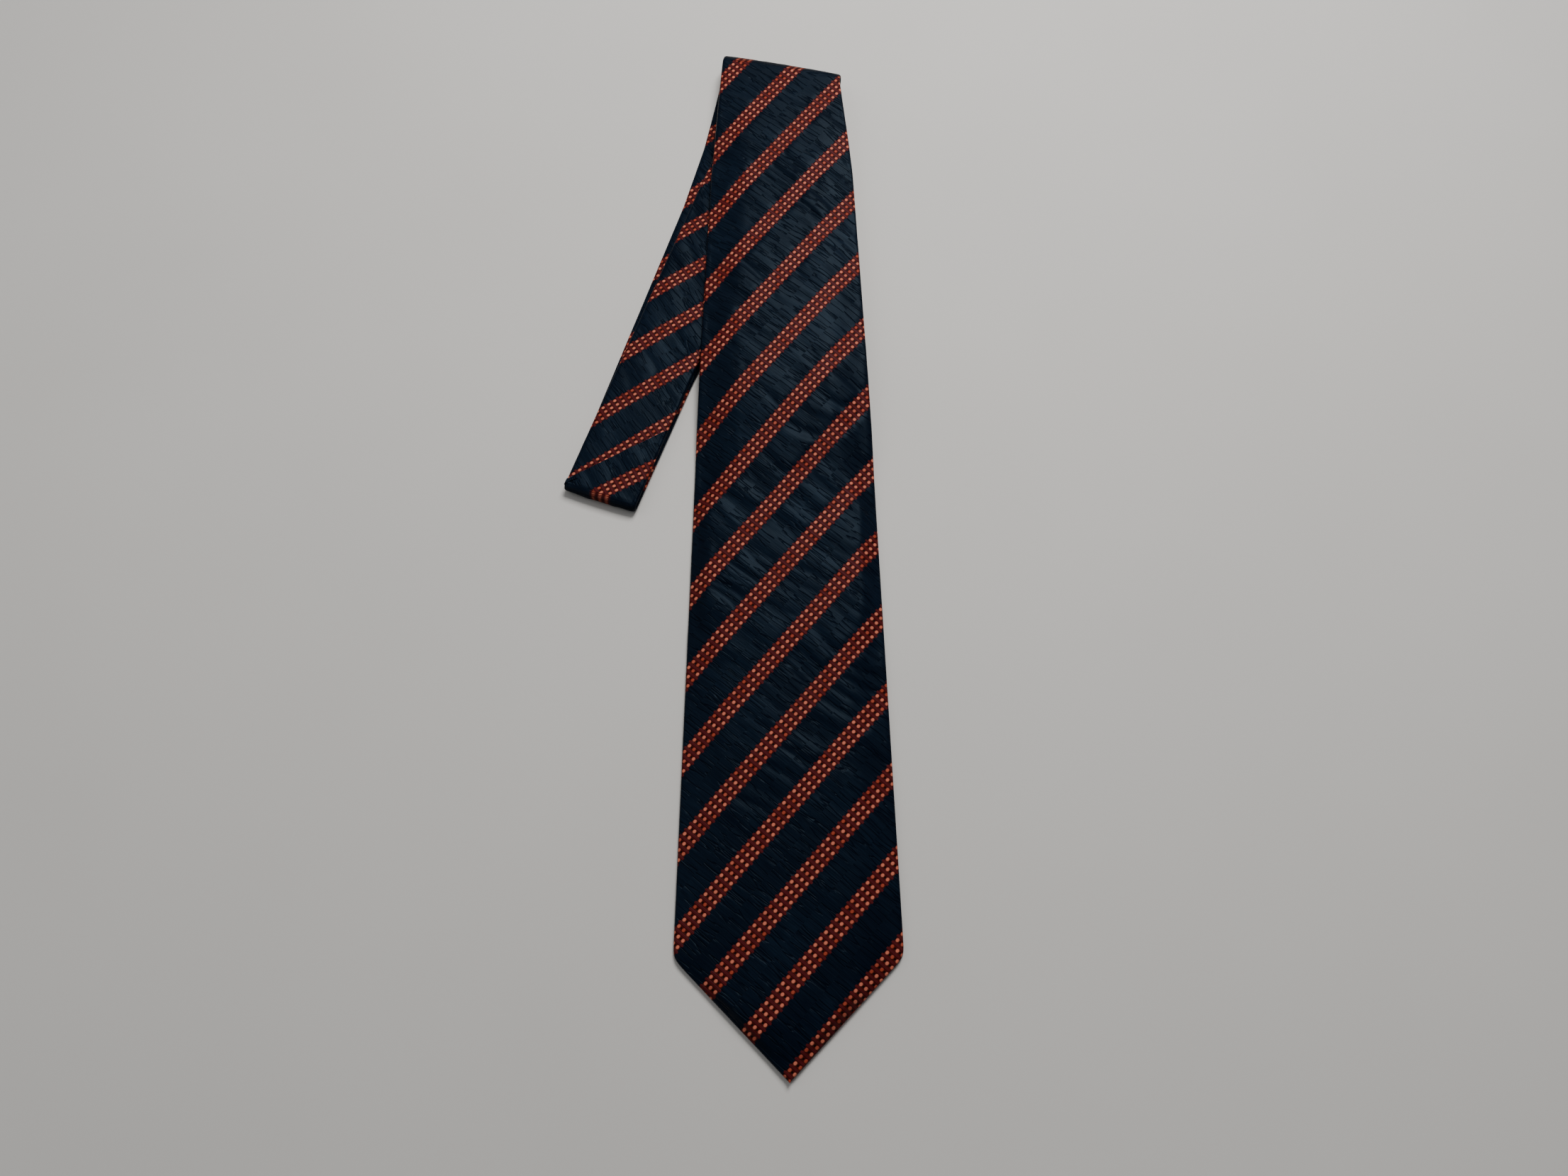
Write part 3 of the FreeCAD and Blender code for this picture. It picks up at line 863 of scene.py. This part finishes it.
@dataclass
class Necktie:
    """The whole tie: its runs, its folds, and every piece on them."""

    ply: Ply = field(default_factory=Ply)
    blade: Tip = Tip(479.0, ((0, 29.9), (65, 35.0), (205, 39.9), (434, 45.0), (480, 46.0)), 1.2, 105.0, 9.0)
    tail: Tip = Tip(451.0, ((0, 18.0), (429, 22.0), (452, 22.3)), 0.8, 60.0, 7.0)
    # Half widths at the crease, outer and inner ply, and at the neck fold; the inner one lies to one side.
    crease_half: float = 30.6
    tail_crease_half: float = 18.0
    neck_half: float = 17.1
    tail_shift: float = 2.5
    # Radius of a ply's middle, round the other ply and where it is folded flat on itself.
    outer_radius: float = 4.65
    inner_radius: float = 1.55
    # Length of the legs, and the heights of their middles and of the fold between them.
    leg_length: float = 249.6
    under_middle: float = 1.4
    neck_middle: float = 4.5
    neck_fold_height: float = 2.95
    # Seams: their places, their slant in degrees, how far rows follow it, and how far the silk runs past.
    neck_seam: float = 229.5
    tail_seam: float = 70.0
    seam_slant: float = 48.0
    seam_reach: float = 34.0
    seam_lap: float = 0.02
    # Distances up to which the backs are sewn shut.
    blade_sewn: float = 372.0
    tail_sewn: float = 389.0
    leg_sewn: float = 245.0
    # Middle of the keeper loop, and half of its width.
    keeper_place: float = 267.5
    keeper_half: float = 6.5
    # Distance at which the bending pieces end, and steps from row to row, away from the crease and at it.
    joint_zone: float = 11.0
    fine: float = 1.1
    crease_step: float = 1.4
    coarse: float = 3.0
    lining_step: float = 2.0

    def __post_init__(self) -> None:
        """Read the crease from the frame and set the two plans on it."""
        joint = frame["joints"][0]
        x, y, z = (v / MM for v in joint["pos_m"])
        self.axis_z = z
        self.axis = Vector(joint["axis"])
        self.out = Vector((-self.axis.y, self.axis.x, 0.0))
        self.middle = Vector((x, y, 0))
        self.blade_plan = Plan(x, y, 0.0, -12.6)
        self.leg_plan = Plan(x, y, 19.2, 6.6)
        self.blade_field = BladeStripes()
        self.tail_field = Stripes(127.0, 8.0, 22.5)
        self.keeper_field = Stripes(42.0, 2.0, 22.5)
        self.neck_field = Stripes(34.0, 62.37, 21.2).counted_on(self.tail_field.at(x, y)[0], x, y)
        turned_over = self.leg_plan.at(-2 * self.crease_half, 0.0)
        above = self.blade_field.at(x, y)[0]
        self.under_field = Stripes(40.0, 157.8, 23.5, -1.0).counted_on(above, *turned_over)
        below = self.under_field.at(*self.leg_plan.at(-2 * self.neck_half, self.leg_length))[0]
        fold = self.leg_plan.at(0.0, self.leg_length)
        self.below_seam_field = Stripes(29.0, 24.3, 21.2).counted_on(below, *fold)
        self.slant = math.tan(math.radians(self.seam_slant))
        self.made: list[Piece] = []

    # heights of the runs

    def stack_height(self, along: float) -> float:
        """Underside of the blade above the surface, on its middle line."""
        return along_points(along, ((170, 9.3), (245, 3.7), (290, 3.7), (330, 3.1), (454, 3.1), (479, 0.3)))

    def tail_height(self, along: float) -> float:
        """Underside of the tail above the surface."""
        return along_points(along, ((170, 6.2), (245, 0.6), (290, 0.6), (330, 0.0)))

    def blade_middle(self, across: float, along: float, half: float) -> float:
        """Middle height of the blade, which falls off the tail towards its edges."""
        centre = self.stack_height(along) + self.ply.thick / 2
        if across < 0:
            low = along_points(along, ((14, 10.7), (70, 7.9), (160, 7.9), (235, 1.45)))
        else:
            low = along_points(along, ((14, 10.7), (90, 8.6), (170, 7.6), (245, 1.45)))
        start = along_points(along, ((20, 16.0), (225, 20.0), (245, 32.5), (290, 32.5), (310, 24.5)))
        share = ease(abs(across), min(start, half - 6.0), max(half, 8.0))
        return centre + (min(low, centre) - centre) * share

    # rows

    def flat_row(
        self, plan: Plan, along: float, half: float, shift: float, gap: float, face_up: bool,
        height: Callable[[float, float], float], stripes: Field, folded_over: bool, pucker: float,
        step: float, end_line: Callable[[float], float] | None = None, lean: float = 1.0,
    ) -> Row:
        """A row on a run that lies flat.

        Args:
            plan: Frame of the run.
            along: Distance from the crease.
            half: Half of the run's width.
            shift: Its middle, across the plan.
            gap: Half of the space between its flaps.
            face_up: Whether the face is on top.
            height: Middle height for a place across and along.
            stripes: Stripes on what is seen from above.
            folded_over: Whether those are seen on a flap and not on the face.
            pucker: Strength of the puckers.
            step: Cloth to the next row.
            end_line: Distance along at which the run's slanted end crosses it.
            lean: How much the row follows that line, or else the crease.

        Returns:
            The row.
        """
        line = end_line or plan.line
        sense = 1.0 if face_up else -1.0

        def place(across: float, lift: float) -> Vector:
            """Point of the row."""
            s = across + shift
            d = along + line(s) * lean
            x, y = plan.at(s, d)
            return Vector((x, y, max(height(s, d) + sense * lift, LOWEST)))

        def mark(cloth: float) -> Pair:
            """Stripe coordinates of the row."""
            s = (-2 * half - cloth if folded_over else cloth) + shift
            return stripes.at(*plan.at(s, along + line(clamp(s, -half, half)) * lean))

        return Row(half, gap, place, mark, pucker, step)

    def mitred(self, row: Row, along: float, tip: Tip, stripes: Field) -> Row:
        """A row whose silk, where the pointed end turns it over, is mirrored across that end's edge.

        Args:
            row: The row as it lies.
            along: Its distance from the crease.
            tip: The pointed run.
            stripes: Stripes of the run.

        Returns:
            The row with its new stripe coordinates.
        """
        sides = straight_points(along, tip.sides)

        def mark(cloth: float) -> Pair:
            """Stripe coordinates of the row."""
            behind = 2 * row.half - abs(cloth)
            to_end_edge = (tip.end - behind - along) / math.sqrt(2.0)
            if abs(cloth) <= row.half or to_end_edge > sides - behind:
                return row.mark(cloth)
            return stripes.at(*self.blade_plan.at(math.copysign(tip.end - along, cloth), tip.end - behind))

        return replace(row, mark=mark)

    @staticmethod
    def lean_at(along: float) -> float:
        """How much a row near the crease still follows it."""
        return 1.0 - ease(along, 0.0, 55.0)

    @staticmethod
    def span(start: float, end: float, step: float) -> list[float]:
        """Distances from start to end, about a step apart."""
        count = max(2, round(abs(end - start) / step))
        return [start + (end - start) * i / count for i in range(count + 1)]

    def blade_rows(self, start: float, end: float, step: float) -> list[Row]:
        """Rows of the blade, face up."""
        rows = []
        for d in self.span(start, end, step):
            half = self.blade.half_width(d)
            pucker = ease(d, 4.0, 22.0) * (1.0 - 0.85 * ease(d, 300.0, 440.0))
            row = self.flat_row(
                self.blade_plan, d, half, 0.0, self.blade.opening(d, half), True,
                lambda s, at, h=half: self.blade_middle(s, at, h),
                self.blade_field, False, pucker, step, lean=self.lean_at(d),
            )
            rows.append(self.mitred(row, d, self.blade, self.blade_field))
        return rows

    def tail_rows(self, start: float, end: float, step: float, seam: bool = False) -> list[Row]:
        """Rows of the tail, face down, which follow the slanted seam near it if seam is set."""
        rows = []
        for d in self.span(start, end, step):
            half = self.tail.half_width(d)
            near_seam = 1.0 - ease(abs(d - self.tail_seam), 0.0, self.seam_reach) if seam else 0.0
            past_crease = seam and d > self.tail_seam - self.seam_reach
            row = self.flat_row(
                self.blade_plan, d, half, self.tail_shift * (1.0 - d / self.tail.end),
                self.tail.opening(d, half), False,
                lambda s, at: self.tail_height(at) + self.ply.thick / 2,
                self.tail_field, False, 0.5, step,
                end_line=(lambda s: s * self.slant) if near_seam else None,
                lean=near_seam or (0.0 if past_crease else self.lean_at(d)),
            )
            rows.append(self.mitred(row, d, self.tail, self.tail_field))
        return rows

    def under_rows(self, start: float, end: float, step: float) -> list[Row]:
        """Rows of the under leg, face down."""
        widths = ((0, 30.4), (52, 23.4), (89, 20.7), (self.leg_length, self.neck_half))
        return [
            self.flat_row(
                self.leg_plan, d, straight_points(d, widths), 0.0, CLOSED, False,
                lambda s, at: self.under_middle, self.under_field, True, 0.4, step, lean=self.lean_at(d),
            )
            for d in self.span(start, end, step)
        ]

    def neck_rows(
        self, start: float, end: float, step: float, stripes: Field, seam: bool = True
    ) -> list[Row]:
        """Rows of the neck leg, face up, which follow the slanted seam near it if seam is set."""
        rows = []
        widths = ((0, self.tail_crease_half), (self.leg_length, self.neck_half))
        for d in self.span(start, end, step):
            near_seam = 0.0
            if seam and d <= self.neck_seam:
                near_seam = 1.0 - ease(abs(d - self.neck_seam), 0.0, self.seam_reach)
            elif seam:
                near_seam = 1.0 - ease(d, self.neck_seam, self.leg_length)
            rows.append(
                self.flat_row(
                    self.leg_plan, d, straight_points(d, widths),
                    self.tail_shift * (1.0 - d / self.leg_length), CLOSED, True,
                    lambda s, at: self.neck_middle, stripes, False, 0.85, step,
                    end_line=(lambda s: -s * self.slant) if near_seam else None,
                    lean=near_seam or self.lean_at(d),
                )
            )
        return rows

    def crease_fold(
        self, half: float, shift: float, mid: float, outward: bool, first: Field, last: Field,
        last_over: bool, count: int,
    ) -> list[Row]:
        """Rows round the top crease.

        Args:
            half: Half of the width, along the crease.
            shift: Middle of the cloth, along the crease.
            mid: Radius of the ply's middle.
            outward: Whether the face is on the outside of the fold.
            first: Stripes above the fold.
            last: Stripes below it.
            last_over: Whether those below are seen on a flap.
            count: Steps from row to row.

        Returns:
            The rows, from the upper ply to the lower.
        """
        rows = []
        for i in range(count + 1):
            turn = math.pi * i / count

            def place(across: float, lift: float, turn: float = turn) -> Vector:
                """Point of the row."""
                radius = mid + (lift if outward else -lift)
                at = self.middle + self.axis * (across + shift) + self.out * (radius * math.sin(turn))
                at.z = max(self.axis_z + radius * math.cos(turn), LOWEST)
                return at

            def mark(cloth: float, turn: float = turn) -> Pair:
                """Stripe coordinates of the row."""
                behind = -2 * half - cloth if last_over else cloth
                above = self.middle + self.axis * (cloth + shift) + self.out * (mid * turn)
                below = self.middle + self.axis * (behind + shift) + self.out * (mid * (math.pi - turn))
                share = ease(turn, 0.0, math.pi)
                return between(first.at(above.x, above.y), last.at(below.x, below.y), share)

            rows.append(Row(half, CLOSED, place, mark, pucker=0.25, step=math.pi * mid / count))
        return rows

    def outer_crease_rows(self, step: float) -> list[Row]:
        """Rows of the blade and the under leg round the outside of the crease."""
        fold = self.crease_fold(
            self.crease_half, 0.0, self.outer_radius, True, self.blade_field, self.under_field, True, 16
        )
        zone = self.joint_zone
        return self.blade_rows(zone, 0.0, step)[:-1] + fold + self.under_rows(0.0, zone, step)[1:]

    def inner_crease_rows(self, step: float) -> list[Row]:
        """Rows of the tail and the neck leg round the inside of the crease."""
        fold = self.crease_fold(
            self.tail_crease_half, self.tail_shift, self.inner_radius, False,
            self.tail_field, self.neck_field, False, 10,
        )
        below = self.neck_rows(0.0, self.joint_zone, step, self.neck_field, seam=False)
        return self.tail_rows(self.joint_zone, 0.0, step)[:-1] + fold + below[1:]

    def neck_fold(self, count: int) -> list[Row]:
        """Rows round the fold at the neck, from the under leg up to the neck leg."""
        rows = []
        for i in range(1, count):
            turn = math.pi * i / count

            def place(across: float, lift: float, turn: float = turn) -> Vector:
                """Point of the row."""
                radius = self.inner_radius + lift
                x, y = self.leg_plan.at(across, self.leg_length + radius * math.sin(turn))
                return Vector((x, y, max(self.neck_fold_height - radius * math.cos(turn), LOWEST)))

            def mark(cloth: float, turn: float = turn) -> Pair:
                """Stripe coordinates of the row."""
                below = self.under_field.at(*self.leg_plan.at(-2 * self.neck_half - cloth, self.leg_length))
                above = self.below_seam_field.at(*self.leg_plan.at(cloth, self.leg_length))
                return between(below, above, ease(turn, 0.0, math.pi))

            step = math.pi * self.inner_radius / count
            rows.append(Row(self.neck_half, CLOSED, place, mark, pucker=0.3, step=step))
        return rows

    # measuring, and putting pieces in for their nodes

    def declare(self, rows: Sequence[Row], held: Held, inset: float | None = None) -> None:
        """Work out a cloth's flat size, measured on the cut and not on the mesh; the size is not kept.

        Args:
            rows: Its rows.
            held: How it is held; not used.
            inset: For a flat cloth inside the ply, how far its edges stay in; None for a silk tube.
        """
        area, wide, length = 0.0, 0.0, 0.0
        for row in rows[:-1]:
            if inset is None:
                cut = 2 * row.half + 2 * max(row.half - row.gap, 0.0)
            else:
                cut = 2 * max(row.half - inset, CORE_THINNEST)
            area += cut * row.step
            wide, length = max(wide, cut), length + row.step
        wide, length = wide * MM, length * MM

    def keep(self, piece: Piece, body: Body, node: str) -> None:
        """Let a piece ride on its half and stand for its node."""
        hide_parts(node)
        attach(piece, body.value)
        self.made.append(piece)

    def bend(self, piece: Piece, node: str) -> None:
        """Fix a piece that lies round the crease where it is, on neither half, and let it stand for its node.
        """
        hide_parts(node)
        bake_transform(piece)
        self.made.append(piece)

    # pieces

    def silk(self, name: str, ply: Ply, rows: Sequence[Row]) -> Piece:
        """A tube of silk; its flat size is worked out and not kept."""
        piece = ply.tube(name, rows)
        self.declare(rows, Held.FOLDED)
        return piece

    def lining(self, name: str, ply: Ply, rows: Sequence[Row]) -> Piece:
        """The interlining in a ply; its flat size is worked out and not kept."""
        piece = ply.core(name, rows, Slot.WOOL, self.ply.lining_inset, 0.0, self.ply.lining)
        self.declare(rows, Held.LAID, inset=self.ply.lining_inset)
        return piece

    def build_silk(self) -> None:
        """Every tube of silk. The crease pieces reach out to the joint zone, where the flat rows begin."""
        zone, fine, narrow = self.joint_zone, self.fine, Ply(face_count=32, flap_count=8)
        rows = self.blade_rows(zone, self.blade.end - 0.1, fine)
        self.keep(self.silk("blade_silk", self.ply, rows), Body.BLADE, "front_shell")

        piece = self.silk("crease_silk", self.ply, self.outer_crease_rows(self.crease_step))
        self.bend(piece, "front_shell_fold")

        rows = (
            self.under_rows(zone, self.leg_length, fine)
            + self.neck_fold(8)
            + self.neck_rows(self.leg_length, self.neck_seam + self.seam_lap, 1.2, self.below_seam_field)
        )
        self.keep(self.silk("under_leg_silk", self.ply, rows), Body.FOLDED, "front_shell_under")

        rows = self.neck_rows(self.neck_seam - self.seam_lap, zone, fine, self.neck_field)
        self.keep(self.silk("neck_leg_silk", narrow, rows), Body.FOLDED, "neck_shell")

        piece = self.silk("inner_crease_silk", narrow, self.inner_crease_rows(self.crease_step))
        self.bend(piece, "neck_shell_fold")

        rows = self.tail_rows(zone, self.tail_seam - self.seam_lap, fine, seam=True)
        self.keep(self.silk("neck_end_silk", narrow, rows), Body.BLADE, "neck_shell_end")

        rows = self.tail_rows(self.tail_seam + self.seam_lap, self.tail.end - 0.1, fine, seam=True)
        self.keep(self.silk("tail_silk", narrow, rows), Body.BLADE, "tail_shell")

    def build_lining(self) -> None:
        """Interlining in every ply, and the tipping behind the two points."""
        zone, step, leg = self.joint_zone, self.coarse, self.leg_length - 1.0
        narrow, short, lap = Ply(face_count=26), 3.0, 6.0
        neck = self.neck_rows(leg, zone, step, self.neck_field, seam=False)
        for name, ply, rows, body, node in (
            ("blade_interlining", self.ply, self.blade_rows(zone, self.blade.end - short, step),
             Body.BLADE, "front_interlining"),
            ("tail_interlining_cloth", narrow, self.tail_rows(zone, self.tail.end - short, step),
             Body.BLADE, "tail_interlining"),
            ("under_leg_interlining", narrow, self.under_rows(zone, leg, step),
             Body.FOLDED, "interlining_under"),
            ("neck_leg_interlining", narrow, neck, Body.FOLDED, "neck_interlining"),
        ):
            self.keep(self.lining(name, ply, rows), body, node)
        piece = self.lining("crease_interlining", self.ply, self.outer_crease_rows(self.lining_step))
        self.bend(piece, "front_interlining_fold")
        piece = self.lining("inner_crease_interlining", narrow, self.inner_crease_rows(self.lining_step))
        self.bend(piece, "tail_interlining_fold")
        inset, lift, wall, short, step = 1.5, -0.75, 0.16, 2.5, 1.6
        for name, ply, make_rows, tip, sewn, node in (
            ("blade_tipping", self.ply, self.blade_rows, self.blade, self.blade_sewn, "front_tipping"),
            ("tail_tipping_cloth", narrow, self.tail_rows, self.tail, self.tail_sewn, "tail_tipping"),
        ):
            rows = make_rows(sewn - lap, tip.end - short, step)
            piece = ply.core(name, rows, Slot.TIPPING, inset, lift, wall)
            self.declare(rows, Held.LAID, inset=inset)
            self.keep(piece, Body.BLADE, node)

    def slip_stitches(self, name: str, rows: Sequence[Row], body: Body, node: str) -> None:
        """Small slanted stitches that join a ply's two flaps.

        Args:
            name: Piece name.
            rows: Rows of the ply.
            body: Half that they ride on.
            node: Node that they stand for.
        """
        mesh = bmesh.new()
        apart, reach, lift = 5.0, 0.9, -1.42
        every = max(1, round(apart / rows[0].step))
        for low, high in zip(rows[::every], rows[1::every]):
            if low.gap < CLOSED + 0.3:
                add_stitch(mesh, low.place(-reach, lift), high.place(reach, lift), 0.16)
        self.keep(finish(name, mesh, Slot.THREAD), body, node)

    def build_threads(self) -> None:
        """Slip stitches, bar tacks and seam stitches."""
        step, zone, leg = 2.5, self.joint_zone, self.leg_sewn
        blade, tail = self.blade_rows(zone, self.blade_sewn, step), self.tail_rows(zone, self.tail_sewn, step)
        neck = self.neck_rows(leg, zone, step, self.neck_field, seam=False)
        for name, rows, body, node in (
            ("blade_slip_stitches", blade, Body.BLADE, "front_slip_stitch"),
            ("tail_slip_stitches", tail, Body.BLADE, "tail_slip_stitch"),
            ("under_slip_stitches", self.under_rows(zone, leg, step), Body.FOLDED, "under_slip_stitch"),
            ("neck_slip_stitches", neck, Body.FOLDED, "neck_slip_stitch"),
        ):
            self.slip_stitches(name, rows, body, node)
        above, long, step, reach, lift = 0.4, 2.0, 0.25, 3.5, -1.5
        for name, make_rows, sewn, node in (
            ("blade_bar_tack", self.blade_rows, self.blade_sewn, "front_bar_tack"),
            ("tail_bar_tack_stitches", self.tail_rows, self.tail_sewn, "tail_bar_tack"),
        ):
            mesh = bmesh.new()
            for row in make_rows(sewn + above, sewn + above + long, step):
                add_stitch(mesh, row.place(-reach, lift), row.place(reach, lift), 0.14)
            self.keep(finish(name, mesh, Slot.THREAD), Body.BLADE, node)
        apart = 1.6
        for name, plan, seam, slant, top, body in (
            ("neck_seam", self.leg_plan, self.neck_seam, -self.slant, 5.72, Body.FOLDED),
            ("tail_seam", self.blade_plan, self.tail_seam, self.slant, 6.4, Body.BLADE),
        ):
            mesh = bmesh.new()
            for i in range(-10, 10):
                ends = [
                    Vector((*plan.at(across, seam + across * slant), top))
                    for across in (i * apart + 0.1, i * apart + apart - 0.1)
                ]
                add_stitch(mesh, *ends, 0.13)
            self.keep(finish(f"{name}_stitches", mesh, Slot.THREAD), body, f"{name}_thread")

    def build_keeper(self) -> None:
        """Keeper loop behind the blade, which the tail goes through, and its tacks."""
        end, climb = 31.5, 3.4
        path = [(-end, 3.35), (-25.6, 3.35), (-24.6, 3.0), (-24.0, 1.2), (-23.2, 0.4)]
        path += [(x * 2.3, 0.3) for x in range(-9, 10)]
        path += [(-x, z) for x, z in reversed(path[:5])]

        def at(u: float, v: float) -> tuple[Vector, Pair]:
            """Point and stripe coordinates of a corner."""
            across, z = path[nth(u, len(path) - 1)]
            x, y = self.blade_plan.at(across, self.keeper_place + v * self.keeper_half)
            return Vector((x, y, z)), self.keeper_field.at(x, y)

        mesh = cloth_grid(len(path) - 1, 8, at)
        piece = finish("keeper_silk", mesh, Slot.SILK, wall=0.4, centred=True)
        self.keep(piece, Body.BLADE, "keeper_loop")
        mesh = bmesh.new()
        for side in (-1.0, 1.0):
            for i in range(-5, 6):
                along = self.keeper_place + i * 1.1
                ends = [Vector((*self.blade_plan.at(side * a, along), 3.08)) for a in (26.4, 29.8)]
                add_stitch(mesh, *ends, 0.12)
        self.keep(finish("keeper_tack_stitches", mesh, Slot.THREAD), Body.BLADE, "keeper_tacks")

    def build_label(self) -> None:
        """Plain satin label on the blade's tipping."""
        low, high = (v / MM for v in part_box("care_label"))
        centre, half = (low + high) / 2, (high - low) / 2

        def at(u: float, v: float) -> tuple[Vector, Pair]:
            """Point and cloth coordinates at a place on the grid."""
            wave = 0.06 * math.sin(2.6 * v + 0.5) * (1.0 - u * u) - 0.05
            return centre + Vector((u * half.x, v * half.y, wave)), (u, v)

        mesh = cloth_grid(16, 26, at)
        piece = finish("label_cloth", mesh, Slot.SATIN, wall=0.15, centred=True)
        self.keep(piece, Body.BLADE, "care_label")

    def build(self) -> None:
        """Build every piece, from the silk in."""
        self.build_silk()
        self.build_lining()
        self.build_threads()
        self.build_keeper()
        self.build_label()
        for piece in self.made:
            LOG.info("%s: %d faces", piece.name, len(piece.data.polygons))


@dataclass
class Studio:
    """Floor, light and camera.

    Attributes:
        eye: Place of the camera, in millimetres.
        down: Degrees that it is tipped up from looking straight down.
        roll: Degrees that it is turned about its own view.
        lens: Focal length.
    """

    eye: tuple[float, float, float] = (26.47, -228.74, 481.0)
    down: float = 20.76
    roll: float = -0.47
    lens: float = 27.05

    def floor(self) -> None:
        """Plain pale floor."""
        mesh = bmesh.new()
        bmesh.ops.create_grid(mesh, x_segments=1, y_segments=1, size=12.0)
        data = bpy.data.meshes.new("floor")
        mesh.to_mesh(data)
        mesh.free()
        floor = add_to_scene("floor", data)
        g = Graph("floor_paint")
        cloud = g.grain(g.space(), 9.0, 2.0)
        paint_colour = g.mix(cloud, (0.60, 0.575, 0.54, 1.0), (0.64, 0.615, 0.58, 1.0))
        g.link(paint_colour, g.shader.inputs["Base Color"])
        g.shader.inputs["Roughness"].default_value = 0.75
        data.materials.append(g.material)

    def light(self) -> None:
        """Two soft lamps and an even surround."""
        world = bpy.data.worlds.new("surround")
        world.use_nodes = True
        colour, strength = world.node_tree.nodes["Background"].inputs[:2]
        colour.default_value = (0.92, 0.96, 1.0, 1.0)
        strength.default_value = 0.20
        bpy.context.scene.world = world
        for name, place, size, power in (
            ("key_lamp", (0.24, 0.62, 0.84), 0.45, 12.0),
            ("fill_lamp", (-1.0, 0.3, 1.1), 1.2, 3.0),
        ):
            lamp = bpy.data.lights.new(name, "AREA")
            lamp.size, lamp.energy = size, power
            holder = add_to_scene(name, lamp)
            holder.location = place
            holder.rotation_euler = (-Vector(place)).to_track_quat("-Z", "Y").to_euler()

    def camera(self) -> None:
        """Camera that looks down on the tie."""
        lens = bpy.data.cameras.new("camera")
        lens.sensor_width, lens.lens = 36.0, self.lens
        lens.clip_start, lens.clip_end = 0.01, 20.0
        holder = add_to_scene("camera", lens)
        tip = Matrix.Rotation(math.radians(self.down), 4, "X")
        spin = Matrix.Rotation(math.radians(self.roll), 4, "Z")
        holder.matrix_world = Matrix.Translation(Vector(self.eye) * MM) @ tip @ spin
        bpy.context.scene.camera = holder

    def build(self) -> None:
        """Set up the whole studio."""
        self.floor()
        self.light()
        self.camera()


def main() -> None:
    """Build the tie and its studio."""
    logging.basicConfig(level=logging.INFO)
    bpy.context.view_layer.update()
    Studio().build()
    Necktie().build()


if __name__ == "__main__":
    main()
